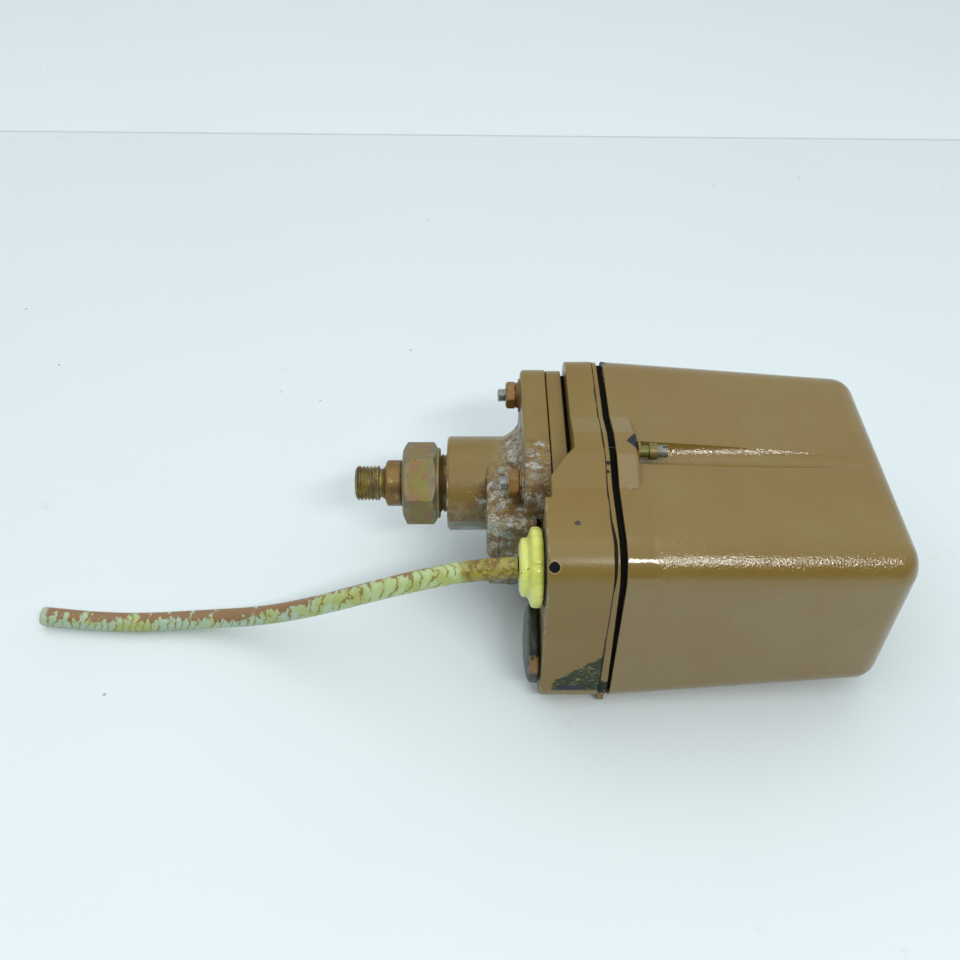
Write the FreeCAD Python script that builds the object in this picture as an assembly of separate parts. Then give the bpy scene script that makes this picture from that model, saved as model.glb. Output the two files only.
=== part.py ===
import FreeCAD, Part
import math
import os

# Pressure switch with a diecast housing, a bolted diaphragm chamber, a screwed pressure
# connection and a short cable.  Millimetres.
#
# Layout frame: X runs from the pressure connection towards the cover, Y from the front wall
# to the back wall, Z up from the face that the switch lies on.  Everything is drawn in the
# layout frame and moved once, on export, so that the origin is the bottom centre of the
# switch without its cable.

Vector = FreeCAD.Vector
ALONG_X = Vector(1, 0, 0)

# ---------------------------------------------------------------- driving dimensions
BODY_WIDTH = 105.4
BODY_HEIGHT = 77.4
BODY_CORNER = 11.8
WALL = 3.0

# stations along X
THREAD_END = -46.5
PORT_FACE = -12.0
FLANGE_FACE = 15.0
BASE_FACE = 20.6
RING_FACE = 31.2
BASE_RIM = 40.8
COVER_RIM = 44.8
COVER_END = 138.4

# height of the crest that holds the cover screw, above the top wall
CREST_RISE = 3.5
CREST_FOOT = (32.6, 67.0)
CREST_TOP = (44.6, 55.4)

# pressure axis and flange
AXIS_Y = 72.4
AXIS_Z = 39.6
FLANGE_SIZE = 66.0
FLANGE_CORNER = 10.0
STUD_PITCH = 46.8
STUD_RADIUS = 2.5
PORT_RADIUS = 17.6

# cable entry and spare entry in the deep half of the base
ENTRY_Y = 14.7
GLAND_Z = 59.3
PLUG_Z = 18.1
ENTRY_RADIUS = 8.0

# cover screw and the screwdriver channel on the same axis
SCREW_Y = 49.8
SCREW_Z = 77.3
CHANNEL_RADIUS = 5.5

# cable
CABLE_RADIUS = 3.5
CABLE_ROUTE = [
    (12.4, 14.7, 59.3), (-3.4, 15.0, 57.5), (-20.6, 17.0, 49.8), (-39.0, 20.4, 38.8),
    (-58.9, 25.0, 25.2), (-80.0, 30.8, 12.2), (-105.0, 34.8, 4.9), (-127.4, 34.3, 3.6),
    (-147.0, 35.1, 3.6), (-164.5, 37.4, 3.6),
]

# clearances
RUNNING = 0.06
SNUG = 0.04
APART = 0.3
THROUGH = 1.0

# base casting: outline seen from above (X, Y), inner floor, bosses and holes
WEB_PLAN = [(BASE_RIM, 0), (BASE_FACE, 0), (BASE_FACE, 28.6), (23.0, 28.6), (23.0, 37.1),
            (RING_FACE, 48.3), (RING_FACE, BODY_WIDTH), (BASE_RIM, BODY_WIDTH)]
EDGE_ROUND = 0.8
DEEP_FLOOR = BASE_FACE + 3.4
SHALLOW_FLOOR = RING_FACE + 3.5
DEEP_SIDE = 35.5
BOSS_RADIUS = 5.5
MOUNT_X = 36.4
MOUNT_Y = (16.0, 89.0)
MOUNT_HOLE_RADIUS = 2.5
MOUNT_HOLE_DEPTH = 8.0
MOUNT_BOSS_RADIUS = 5.0
MOUNT_BOSS_TOP = 9.6
FRAME_SCREW_RADIUS = 2.0
BUSH_RADIUS = 12.0
COVER_SCREW_RADIUS = 2.0
SCREW_BOSS_RADIUS = 6.0
EARTH_Y = 52.0
EARTH_Z = 39.6
EARTH_RADIUS = 2.0

# seal between the base and the cover: the joint plane slopes from top to bottom
SEAL_TOP_X = 42.5
SEAL_BOTTOM_X = 43.9
SEAL_INSET = 1.4
SEAL_INNER_INSET = 4.8

# pressure chamber, from the port to the base
CHAMBER_BACK = 23.9
DIAPHRAGM_THICKNESS = 0.5
CLAMP_BACK = 29.7
CHAMBER_RADIUS = 22.0
CLAMP_OPENING = 20.4
STUD_FITTING_RADIUS = 10.9
STUD_HOLE_RADIUS = STUD_RADIUS + 0.25
SPOT_FACE_X = 14.3
SPOT_FACE_RADIUS = 6.2
INLET_RADIUS = 3.0
CHAMBER_BORE = 4.0
SIDE_BOX_X = (2.4, 19.3)
SIDE_BOX_Y = 35.4
SIDE_BOX_Z = (24.2, 56.2)
SWIVEL_RADIUS = 8.3
COLLAR_RADIUS = 8.65

# cover
COVER_WALL = 2.6
COVER_DRAFT_Y = 4.4
COVER_DRAFT_Z = 6.0
COVER_END_FILLET = 8.4
LUG_END = 52.2

# mechanism
LEVER_FACE = 47.5
LEVER_THICKNESS = 5.0
LEVER_HALF_WIDTH = 5.0
SPRING_CAP = LEVER_FACE + LEVER_THICKNESS
PIVOT_X = 50.0
PIVOT_Y = 94.0
PIN_RADIUS = 2.5
PLUNGER_Y = 48.0
PLUNGER_RADIUS = 2.0
PUSH_ROD_RADIUS = 4.0
PISTON_RADIUS = 19.0
FRAME_PLATE = 38.7
FRAME_END = 110.0
CHEEK_Y = (60.0, 97.0)
CHEEK_BOTTOM = 12.0
CHEEK_TOP = 67.0
SHELF_Z = (31.0, 33.0)
SHEET = 2.0
RANGE_SEAT = (88.0, 93.0)
RANGE_SCREW_RADIUS = 4.0
DIFFERENTIAL_Y = 85.5
DIFFERENTIAL_SEAT = (80.0, 84.0)
DIFFERENTIAL_SCREW_RADIUS = 2.0
SCALE_X = (66.0, 104.0)
SCALE_Y = (79.6, 86.6)
SCALE_THICKNESS = 0.8
SCALE_SCREW_RADIUS = 1.0

# snap switch and terminals
SWITCH_X = (57.0, 73.0)
SWITCH_Y = (34.0, 62.0)
SWITCH_Z = (33.0, 43.4)
SWITCH_SCREW_RADIUS = 1.5
TERMINAL_X = (46.0, 58.0)
TERMINAL_Y = (11.0, 29.0)
TERMINAL_Z = (19.0, 59.0)
TERMINAL_LEVELS = (24.0, 34.0, 44.0, 54.0)
CLAMP_X = 54.0
TERMINAL_MIDDLE_Y = 20.0
BRACKET_SCREW_Y = 28.0
BRACKET_SCREW_Z = 39.0
TAIL_END = 32.0
CORE_RADIUS = 0.9

ORIGIN = Vector((THREAD_END + COVER_END) / 2, BODY_WIDTH / 2, 0)


# ---------------------------------------------------------------- helpers
def save(node, *solids):
    """Write one node; solids that share a node stay separate."""
    shape = solids[0] if len(solids) == 1 else Part.makeCompound(list(solids))
    moved = shape.copy()
    moved.translate(ORIGIN * -1)
    for solid in moved.Solids:
        if not solid.isValid():
            print("invalid solid in", node)
    moved.exportStep(os.path.join("parts", node + ".step"))


def box(x, y, z):
    """A block between three pairs of limits."""
    return Part.makeBox(x[1] - x[0], y[1] - y[0], z[1] - z[0], Vector(x[0], y[0], z[0]))


def rod(radius, x, y, z):
    """A cylinder along X between the two limits in x."""
    return Part.makeCylinder(radius, x[1] - x[0], Vector(x[0], y, z), ALONG_X)


def ring(outer, inner, x, y, z):
    return rod(outer, x, y, z).cut(rod(inner, (x[0] - 1, x[1] + 1), y, z))


def post(radius, x, y, z):
    """A cylinder along Z between the two limits in z."""
    return Part.makeCylinder(radius, z[1] - z[0], Vector(x, y, z[0]))


def turned(profile, y, z):
    """Turn (x, radius) points about an axis along X."""
    points = [Vector(x, y + radius, z) for x, radius in profile]
    face = Part.Face(Part.makePolygon(points + points[:1]))
    return face.revolve(Vector(0, y, z), ALONG_X, 360)


def hexagon(flats, x, y, z, turn=0.0):
    """A hexagonal prism along X; turn is in degrees."""
    corner = flats / math.sqrt(3)
    angles = [math.radians(turn + 60 * side) for side in range(7)]
    points = [Vector(x[0], y + corner * math.cos(a), z + corner * math.sin(a)) for a in angles]
    return Part.Face(Part.makePolygon(points)).extrude(Vector(x[1] - x[0], 0, 0))


def chamfered_hexagon(flats, x, y, z, turn=0.0):
    """A hexagon whose corners are turned off on both faces, as on a nut."""
    crest = flats / math.sqrt(3) + 0.2
    face = flats / 2 * 0.96
    drop = (crest - face) * 0.5
    envelope = turned([(x[0], 0), (x[0], face), (x[0] + drop, crest), (x[1] - drop, crest),
                       (x[1], face), (x[1], 0)], y, z)
    return hexagon(flats, x, y, z, turn).common(envelope)


def outline(x, inset_y, inset_z, radius):
    """A rounded rectangle across X, inset from the body's outline."""
    low_y, high_y = inset_y, BODY_WIDTH - inset_y
    low_z, high_z = inset_z, BODY_HEIGHT - inset_z
    diagonal = radius * (1 - math.sqrt(0.5))
    corners = [
        ((high_y, low_z + radius), (high_y - diagonal, low_z + diagonal), (high_y - radius, low_z)),
        ((low_y + radius, low_z), (low_y + diagonal, low_z + diagonal), (low_y, low_z + radius)),
        ((low_y, high_z - radius), (low_y + diagonal, high_z - diagonal), (low_y + radius, high_z)),
        ((high_y - radius, high_z), (high_y - diagonal, high_z - diagonal), (high_y, high_z - radius)),
    ]
    edges = []
    for index, corner in enumerate(corners):
        start, middle, end = [Vector(x, *point) for point in corner]
        following = Vector(x, *corners[(index + 1) % 4][0])
        edges.append(Part.Arc(start, middle, end).toShape())
        edges.append(Part.LineSegment(end, following).toShape())
    return Part.Wire(edges)


def body_prism(x, inset):
    """The body's outline between two stations, inset all round."""
    wire = outline(x[0], inset, inset, BODY_CORNER - inset)
    return Part.Face(wire).extrude(Vector(x[1] - x[0], 0, 0))


def crest(x, inset=0.0):
    """The crest across the top wall that holds the cover screw."""
    low, high = BODY_HEIGHT - 2 * WALL, BODY_HEIGHT + CREST_RISE - inset
    foot = BODY_HEIGHT - inset
    points = [
        Vector(x[0], CREST_FOOT[0] + inset, low), Vector(x[0], CREST_FOOT[0] + inset, foot),
        Vector(x[0], CREST_TOP[0] + inset, high), Vector(x[0], CREST_TOP[1] - inset, high),
        Vector(x[0], CREST_FOOT[1] - inset, foot), Vector(x[0], CREST_FOOT[1] - inset, low),
    ]
    face = Part.Face(Part.makePolygon(points + points[:1]))
    return face.extrude(Vector(x[1] - x[0], 0, 0))


def stud_places():
    half = STUD_PITCH / 2
    return [(AXIS_Y + side * half, AXIS_Z + level * half) for side in (-1, 1) for level in (-1, 1)]


def flange_plate(x, inset=0.0):
    """The square flange outline with rounded corners."""
    half = FLANGE_SIZE / 2 - inset
    plate = box(x, (AXIS_Y - half, AXIS_Y + half), (AXIS_Z - half, AXIS_Z + half))
    long_edges = [edge for edge in plate.Edges if abs(edge.tangentAt(0).x) > 0.9]
    return plate.makeFillet(FLANGE_CORNER - inset, long_edges)


def drilled(shape, radius, x):
    for y, z in stud_places():
        shape = shape.cut(rod(radius, x, y, z))
    return shape


def helix_spring(mean_radius, wire_radius, x, turns, y, z):
    """A coil spring along X, from one limit of x to the other over its wire."""
    length = x[1] - x[0] - 2 * wire_radius
    path = Part.makeHelix(length / turns, length, mean_radius)
    section = Part.Wire(Part.makeCircle(wire_radius, Vector(mean_radius, 0, 0), Vector(0, 1, 0)))
    spring = Part.Wire(path).makePipeShell([section], True, True)
    spring.rotate(Vector(0, 0, 0), Vector(0, 1, 0), 90)
    spring.translate(Vector(x[0] + wire_radius, y, z))
    return spring


def rounded_path(points):
    """Straight runs joined by tangent arcs, each as large as its two runs allow."""
    points = [Vector(*point) for point in points]
    edges = []
    radii = []
    start = points[0]
    for before, corner, after in zip(points, points[1:], points[2:]):
        back = before - corner
        ahead = after - corner
        reach = 0.45 * min(back.Length, ahead.Length)
        half_turn = (math.pi - back.getAngle(ahead)) / 2
        radius = reach / math.tan(half_turn)
        back.normalize()
        ahead.normalize()
        arc_start = corner + back * reach
        arc_end = corner + ahead * reach
        inward = back + ahead
        inward.normalize()
        middle = corner + inward * (radius / math.cos(half_turn) - radius)
        edges.append(Part.LineSegment(start, arc_start).toShape())
        edges.append(Part.Arc(arc_start, middle, arc_end).toShape())
        radii.append(radius)
        start = arc_end
    edges.append(Part.LineSegment(start, points[-1]).toShape())
    return Part.Wire(edges), radii


def tube_along(points, radius):
    """A round solid that follows the rounded path through the points."""
    path, radii = rounded_path(points)
    first = Vector(*points[0])
    section = Part.Wire(Part.makeCircle(radius, first, Vector(*points[1]) - first))
    return path.makePipeShell([section], True, False), path.Length, radii


def slotted(shape, x, y, z, width, depth_x):
    """Cut a screwdriver slot across the +X end of a head."""
    reach = 12.0
    return shape.cut(box((x - depth_x, x + 1), (y - width / 2, y + width / 2), (z - reach, z + reach)))


# ---------------------------------------------------------------- base
def base_housing():
    points = [Vector(x, y, 0) for x, y in WEB_PLAN]
    footprint = Part.Face(Part.makePolygon(points + points[:1]))
    footprint = footprint.extrude(Vector(0, 0, BODY_HEIGHT + CREST_RISE))
    span = (BASE_FACE - 1, BASE_RIM)
    shape = footprint.common(body_prism(span, 0).fuse(crest(span)))
    entry_face = [edge for edge in shape.Edges if abs(edge.BoundBox.XMax - BASE_FACE) < 0.01]
    shape = shape.makeFillet(EDGE_ROUND, entry_face)
    # pocket for the flange between the two webs
    flange_half = FLANGE_SIZE / 2
    pocket = box((BASE_FACE - 2, RING_FACE), (AXIS_Y - flange_half - 0.5, BODY_WIDTH + 1),
                 (AXIS_Z - flange_half - 0.6, AXIS_Z + flange_half + 0.6))
    shape = shape.cut(pocket)
    # deep wiring space and shallow mechanism space
    inside = body_prism((DEEP_FLOOR, BASE_RIM + THROUGH), WALL)
    deep = inside.common(box((BASE_FACE, BASE_RIM + THROUGH), (0, DEEP_SIDE), (0, BODY_HEIGHT)))
    shallow = inside.common(box((SHALLOW_FLOOR, BASE_RIM + THROUGH), (DEEP_SIDE - 1, BODY_WIDTH),
                                (0, BODY_HEIGHT)))
    shape = shape.cut(deep).cut(shallow)
    # bosses for the cover screw, the studs, the mechanism and the two mounting screws
    solid_body = body_prism((BASE_FACE, BASE_RIM), 1.0)
    boss_span = (SHALLOW_FLOOR - 1, FRAME_PLATE)
    bosses = [rod(SCREW_BOSS_RADIUS, (SHALLOW_FLOOR, BASE_RIM), SCREW_Y, SCREW_Z)]
    bosses += [rod(BOSS_RADIUS, boss_span, y, z) for y, z in stud_places() + frame_screw_places()]
    for mount_y in MOUNT_Y:
        bosses.append(post(MOUNT_BOSS_RADIUS, MOUNT_X, mount_y, (0.5, MOUNT_BOSS_TOP)))
    for boss in bosses:
        shape = shape.fuse(boss.common(solid_body))
    # holes
    shape = drilled(shape, STUD_RADIUS + SNUG, (RING_FACE - THROUGH, FRAME_PLATE - 0.8))
    for y, z in frame_screw_places():
        shape = shape.cut(rod(FRAME_SCREW_RADIUS + SNUG, (boss_span[0], FRAME_PLATE + THROUGH), y, z))
    for z in (GLAND_Z, PLUG_Z):
        shape = shape.cut(rod(ENTRY_RADIUS + RUNNING, (BASE_FACE - 1, BASE_FACE + 5), ENTRY_Y, z))
    shape = shape.cut(rod(BUSH_RADIUS + SNUG, (RING_FACE - THROUGH, SHALLOW_FLOOR + 1), AXIS_Y, AXIS_Z))
    shape = shape.cut(rod(COVER_SCREW_RADIUS + RUNNING, (34.0, BASE_RIM + THROUGH), SCREW_Y, SCREW_Z))
    shape = shape.cut(rod(EARTH_RADIUS + SNUG, (SHALLOW_FLOOR - 2, SHALLOW_FLOOR + 3), EARTH_Y, EARTH_Z))
    for mount_y in MOUNT_Y:
        shape = shape.cut(post(MOUNT_HOLE_RADIUS, MOUNT_X, mount_y, (-1, MOUNT_HOLE_DEPTH)))
    return shape.removeSplitter()


def frame_screw_places():
    return [(AXIS_Y, 20.0), (AXIS_Y, 59.2), (97.0, AXIS_Z)]


def wedge_cut(shape, keep_left):
    """Cut by the sloping plane between the sealing frame and the gasket."""
    reach = 20.0
    margin = 5.0
    slope = (SEAL_TOP_X - SEAL_BOTTOM_X) / BODY_HEIGHT
    far = SEAL_TOP_X + reach if keep_left else SEAL_TOP_X - reach
    low, high = -margin, BODY_HEIGHT + 2 * margin
    points = [Vector(SEAL_BOTTOM_X + slope * low, -margin, low),
              Vector(SEAL_BOTTOM_X + slope * high, -margin, high),
              Vector(far, -margin, high), Vector(far, -margin, low)]
    face = Part.Face(Part.makePolygon(points + points[:1]))
    tool = face.extrude(Vector(0, BODY_WIDTH + 2 * margin, 0))
    return shape.cut(tool)


def sealing_frame():
    span = (BASE_RIM, COVER_RIM)
    nib = box((41.2, 43.4), (2.2, 8.0), (1.9, 7.0))
    shape = body_prism(span, 0.25).fuse(crest(span, 0.25)).fuse(nib)
    shape = shape.cut(body_prism((BASE_RIM - 1, COVER_RIM + 1), WALL + 0.2))
    seat = rod(SCREW_BOSS_RADIUS, span, SCREW_Y, SCREW_Z).common(body_prism(span, 1.0))
    shape = shape.fuse(seat)
    shape = shape.cut(rod(COVER_SCREW_RADIUS + 0.2, (BASE_RIM - 1, COVER_RIM + 1), SCREW_Y, SCREW_Z))
    return wedge_cut(shape, True).removeSplitter()


def cover_gasket():
    span = (BASE_RIM, COVER_RIM - APART)
    shape = body_prism(span, SEAL_INSET).fuse(crest(span, SEAL_INSET))
    shape = shape.cut(body_prism((BASE_RIM - THROUGH, COVER_RIM), SEAL_INNER_INSET))
    shape = shape.cut(rod(COVER_SCREW_RADIUS + 0.3, (BASE_RIM - 1, COVER_RIM), SCREW_Y, SCREW_Z))
    return wedge_cut(shape, False).removeSplitter()


def earth_screw():
    head = rod(3.8, (36.3, 38.6), EARTH_Y, EARTH_Z)
    stem = rod(EARTH_RADIUS, (33.0, 36.3), EARTH_Y, EARTH_Z)
    return slotted(head.fuse(stem), 38.6, EARTH_Y, EARTH_Z, 1.0, 1.2)


# ---------------------------------------------------------------- pressure chamber
def pressure_chamber():
    """Port neck, cove and flange in one casting, with a box on its front side."""
    cove_start = 7.0
    cove_radius = 27.0
    neck = rod(PORT_RADIUS, (PORT_FACE, FLANGE_FACE + 1), AXIS_Y, AXIS_Z)
    edges = [edge for edge in neck.Edges if abs(edge.CenterOfMass.x - PORT_FACE) < 0.01]
    neck = neck.makeChamfer(0.8, [edge for edge in edges if edge.Closed])
    # the cove is a quarter of an ellipse-like arc from the neck to the flange
    foot = Vector(cove_start, AXIS_Y + PORT_RADIUS - 0.5, AXIS_Z)
    lip = Vector(FLANGE_FACE + 0.5, AXIS_Y + cove_radius, AXIS_Z)
    sag = Vector(FLANGE_FACE - 2.4, AXIS_Y + PORT_RADIUS + 2.6, AXIS_Z)
    under = Vector(FLANGE_FACE + 0.5, AXIS_Y + PORT_RADIUS - 0.5, AXIS_Z)
    wire = Part.Wire([Part.Arc(foot, sag, lip).toShape(), Part.LineSegment(lip, under).toShape(),
                      Part.LineSegment(under, foot).toShape()])
    cove = Part.Face(wire).revolve(Vector(0, AXIS_Y, AXIS_Z), ALONG_X, 360)
    flange = flange_plate((FLANGE_FACE, CHAMBER_BACK))
    front_edges = [edge for edge in flange.Edges if abs(edge.CenterOfMass.x - FLANGE_FACE) < 0.01]
    flange = flange.makeFillet(1.4, front_edges)
    side_box = box(SIDE_BOX_X, (SIDE_BOX_Y, AXIS_Y), SIDE_BOX_Z)
    long_edges = [edge for edge in side_box.Edges
                  if edge.CenterOfMass.y < SIDE_BOX_Y + 1 or edge.CenterOfMass.x < SIDE_BOX_X[0] + 0.01]
    side_box = side_box.makeFillet(1.8, long_edges)
    panel = box((6.4, 16.4), (SIDE_BOX_Y - THROUGH, SIDE_BOX_Y + 0.6), (28.6, 51.8))
    shape = neck.fuse(cove).fuse(flange).fuse(side_box.cut(panel))
    for y, z in stud_places():
        shape = shape.fuse(rod(SPOT_FACE_RADIUS, (SPOT_FACE_X, FLANGE_FACE + 1), y, z))
    shape = shape.cut(rod(CHAMBER_RADIUS, (CHAMBER_BACK - 3.0, CHAMBER_BACK + 1), AXIS_Y, AXIS_Z))
    shape = shape.cut(rod(CHAMBER_BORE, (PORT_FACE, CHAMBER_BACK), AXIS_Y, AXIS_Z))
    shape = shape.cut(rod(STUD_FITTING_RADIUS + SNUG, (PORT_FACE - THROUGH, 1.0), AXIS_Y, AXIS_Z))
    return drilled(shape, STUD_HOLE_RADIUS, (0, CHAMBER_BACK + THROUGH)).removeSplitter()


def clamp_flange():
    plate = flange_plate((CHAMBER_BACK + DIAPHRAGM_THICKNESS, CLAMP_BACK), 0.4)
    plate = plate.cut(rod(CLAMP_OPENING, (CHAMBER_BACK, CLAMP_BACK + 1), AXIS_Y, AXIS_Z))
    return drilled(plate, STUD_HOLE_RADIUS, (CHAMBER_BACK, CLAMP_BACK + 1))


def diaphragm():
    """Flat rubber sheet clamped between the flanges."""
    x0, x1 = CHAMBER_BACK, CHAMBER_BACK + DIAPHRAGM_THICKNESS
    return drilled(flange_plate((x0, x1), 0.8), STUD_HOLE_RADIUS, (x0 - 1, x1 + 1))


def spacer_gasket():
    plate = flange_plate((CLAMP_BACK, RING_FACE), 2.2)
    plate = plate.cut(rod(CLAMP_OPENING, (CLAMP_BACK - 1, RING_FACE + 1), AXIS_Y, AXIS_Z))
    return drilled(plate, STUD_HOLE_RADIUS, (CLAMP_BACK - 1, RING_FACE + 1))


def box_gasket():
    return box((SIDE_BOX_X[1], BASE_FACE - 0.1), (35.8, 39.0), (24.8, 55.6))


def flange_stud(y, z):
    profile = [(6.6, 0), (6.6, STUD_RADIUS - 0.6), (7.2, STUD_RADIUS), (37.4, STUD_RADIUS), (37.4, 0)]
    return turned(profile, y, z)


def flange_nut(y, z, turn):
    nut = chamfered_hexagon(9.0, (9.6, 13.5), y, z, turn)
    return nut.cut(rod(STUD_RADIUS + SNUG, (9, 14), y, z))


def flange_washer(y, z):
    return ring(4.9, STUD_RADIUS + 0.2, (13.5, SPOT_FACE_X), y, z)


def stud_fitting():
    """Screwed into the port; its outer end carries the union nut's thread."""
    profile = [(-26.0, CHAMBER_BORE), (-26.0, 8.6), (-24.6, STUD_FITTING_RADIUS),
               (0.4, STUD_FITTING_RADIUS), (0.4, CHAMBER_BORE)]
    return turned(profile, AXIS_Y, AXIS_Z)


def union_nut():
    body = chamfered_hexagon(27.0, (-28.6, -16.2), AXIS_Y, AXIS_Z, 15.0)
    collar = rod(13.25, (-16.2, -14.9), AXIS_Y, AXIS_Z)
    shape = body.fuse(collar)
    shape = shape.cut(rod(STUD_FITTING_RADIUS + RUNNING, (-26.3, -14), AXIS_Y, AXIS_Z))
    return shape.cut(rod(SWIVEL_RADIUS + RUNNING, (-30, -26), AXIS_Y, AXIS_Z)).removeSplitter()


def connection_nipple():
    """Swivel nipple held by the union nut, ending in a G 1/4 male thread."""
    g_radius = 13.157 / 2
    profile = [
        (THREAD_END, INLET_RADIUS), (THREAD_END, g_radius - 0.9), (THREAD_END + 0.9, g_radius),
        (-37.8, g_radius), (-37.8, 5.35), (-36.3, 5.6), (-35.0, 8.0), (-34.7, COLLAR_RADIUS),
        (-29.6, COLLAR_RADIUS), (-28.9, SWIVEL_RADIUS), (-26.3, SWIVEL_RADIUS), (-26.3, INLET_RADIUS),
    ]
    return turned(profile, AXIS_Y, AXIS_Z)


# ---------------------------------------------------------------- cable entry and spare entry
def gland_nut():
    """Hand nut with a notched rim round the cable."""
    hub, rim = 9.65, 13.1
    profile = [(12.4, 0), (12.4, hub - 1.6), (13.4, hub), (15.4, hub), (15.9, rim - 0.9), (16.8, rim),
               (19.0, rim), (20.0, rim - 0.8), (20.0, 0)]
    shape = turned(profile, ENTRY_Y, GLAND_Z)
    notch_count = 14
    for index in range(notch_count):
        angle = 2 * math.pi * index / notch_count
        y = ENTRY_Y + (rim + 0.7) * math.cos(angle)
        z = GLAND_Z + (rim + 0.7) * math.sin(angle)
        shape = shape.cut(rod(1.3, (15.0, 21.0), y, z))
    shape = shape.cut(rod(ENTRY_RADIUS + RUNNING, (15.0, 21.0), ENTRY_Y, GLAND_Z))
    return shape.cut(rod(CABLE_RADIUS + 0.1, (12, 16), ENTRY_Y, GLAND_Z))


def entry_washer(z):
    return ring(12.6, ENTRY_RADIUS + 0.3, (20.2, BASE_FACE), ENTRY_Y, z)


def gland_body():
    return ring(ENTRY_RADIUS, 4.6, (15.4, 30.0), ENTRY_Y, GLAND_Z)


def gland_seal():
    return ring(4.55, CABLE_RADIUS + 0.02, (16.0, 24.0), ENTRY_Y, GLAND_Z)


def gland_locknut():
    return chamfered_hexagon(20.0, (24.1, 27.1), ENTRY_Y, GLAND_Z).cut(
        rod(ENTRY_RADIUS + SNUG, (24, 28), ENTRY_Y, GLAND_Z))


def blanking_plug():
    rim = 13.6
    profile = [(13.6, 0), (14.0, 5.0), (15.0, 9.4), (16.2, rim - 1.0), (17.0, rim), (19.2, rim),
               (19.9, rim - 0.5), (19.9, ENTRY_RADIUS), (27.0, ENTRY_RADIUS), (27.0, 0)]
    return turned(profile, ENTRY_Y, PLUG_Z)


def cable_tail():
    """The stretch of cable inside the gland."""
    return rod(CABLE_RADIUS, (CABLE_ROUTE[0][0] + 0.5, TAIL_END), ENTRY_Y, GLAND_Z)


def cable():
    shape, length, radii = tube_along(CABLE_ROUTE, CABLE_RADIUS)
    section = math.pi * CABLE_RADIUS ** 2
    print("cable length %.1f, volume %.0f, section x length %.0f" % (length, shape.Volume, section * length))
    print("cable arc radii", [round(radius) for radius in radii])
    return shape


# ---------------------------------------------------------------- cover
def cover_block(x, inset, end_fillet):
    """The cover's tapered, round-ended outer or inner form."""
    length = COVER_END - COVER_RIM
    share = (x[1] - COVER_RIM) / length
    near = outline(x[0], inset, inset, BODY_CORNER - inset)
    far = outline(x[1], inset + COVER_DRAFT_Y * share, inset + COVER_DRAFT_Z * share,
                  BODY_CORNER - 1.4 - inset)
    block = Part.makeLoft([near, far], True, True)
    end_edges = [edge for edge in block.Edges if abs(edge.BoundBox.XMin - x[1]) < 0.01]
    return block.makeFillet(end_fillet, end_edges)


def cover_shell():
    outer = cover_block((COVER_RIM, COVER_END), 0.0, COVER_END_FILLET)
    inner = cover_block((COVER_RIM, COVER_END - COVER_WALL), COVER_WALL, 6.2)
    lug = crest((COVER_RIM, LUG_END))
    lug_edges = [edge for edge in lug.Edges if abs(edge.CenterOfMass.x - LUG_END) < 0.01
                 and edge.CenterOfMass.z > BODY_HEIGHT]
    lug = lug.makeChamfer(1.0, lug_edges)
    trough = rod(CHANNEL_RADIUS + COVER_WALL, (COVER_RIM, COVER_END - 6.0), SCREW_Y, SCREW_Z)
    shape = outer.fuse(lug).cut(inner).fuse(trough.common(outer))
    shape = shape.cut(rod(CHANNEL_RADIUS, (LUG_END, COVER_END + 1), SCREW_Y, SCREW_Z))
    shape = shape.cut(box((LUG_END, 56.6), (44.6, 48.6), (71.6, 78.0)))
    shape = shape.cut(rod(COVER_SCREW_RADIUS + RUNNING, (COVER_RIM - 1, LUG_END + 1), SCREW_Y, SCREW_Z))
    return shape.removeSplitter()


def cover_screw():
    """Captive screw: shank through the lug, collar and slotted head in the channel."""
    profile = [(35.0, 0), (35.0, COVER_SCREW_RADIUS - 0.5), (35.6, COVER_SCREW_RADIUS),
               (56.2, COVER_SCREW_RADIUS), (56.2, 2.8), (58.8, 2.8), (58.8, 2.1), (62.3, 2.1), (62.3, 0)]
    return slotted(turned(profile, SCREW_Y, SCREW_Z), 62.3, SCREW_Y, SCREW_Z, 0.9, 1.6)


def screw_retainer():
    """Spring clip behind the lug that keeps the screw in the cover."""
    return ring(3.4, COVER_SCREW_RADIUS + SNUG, (LUG_END + 0.2, LUG_END + 1.0), SCREW_Y, SCREW_Z)


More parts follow.
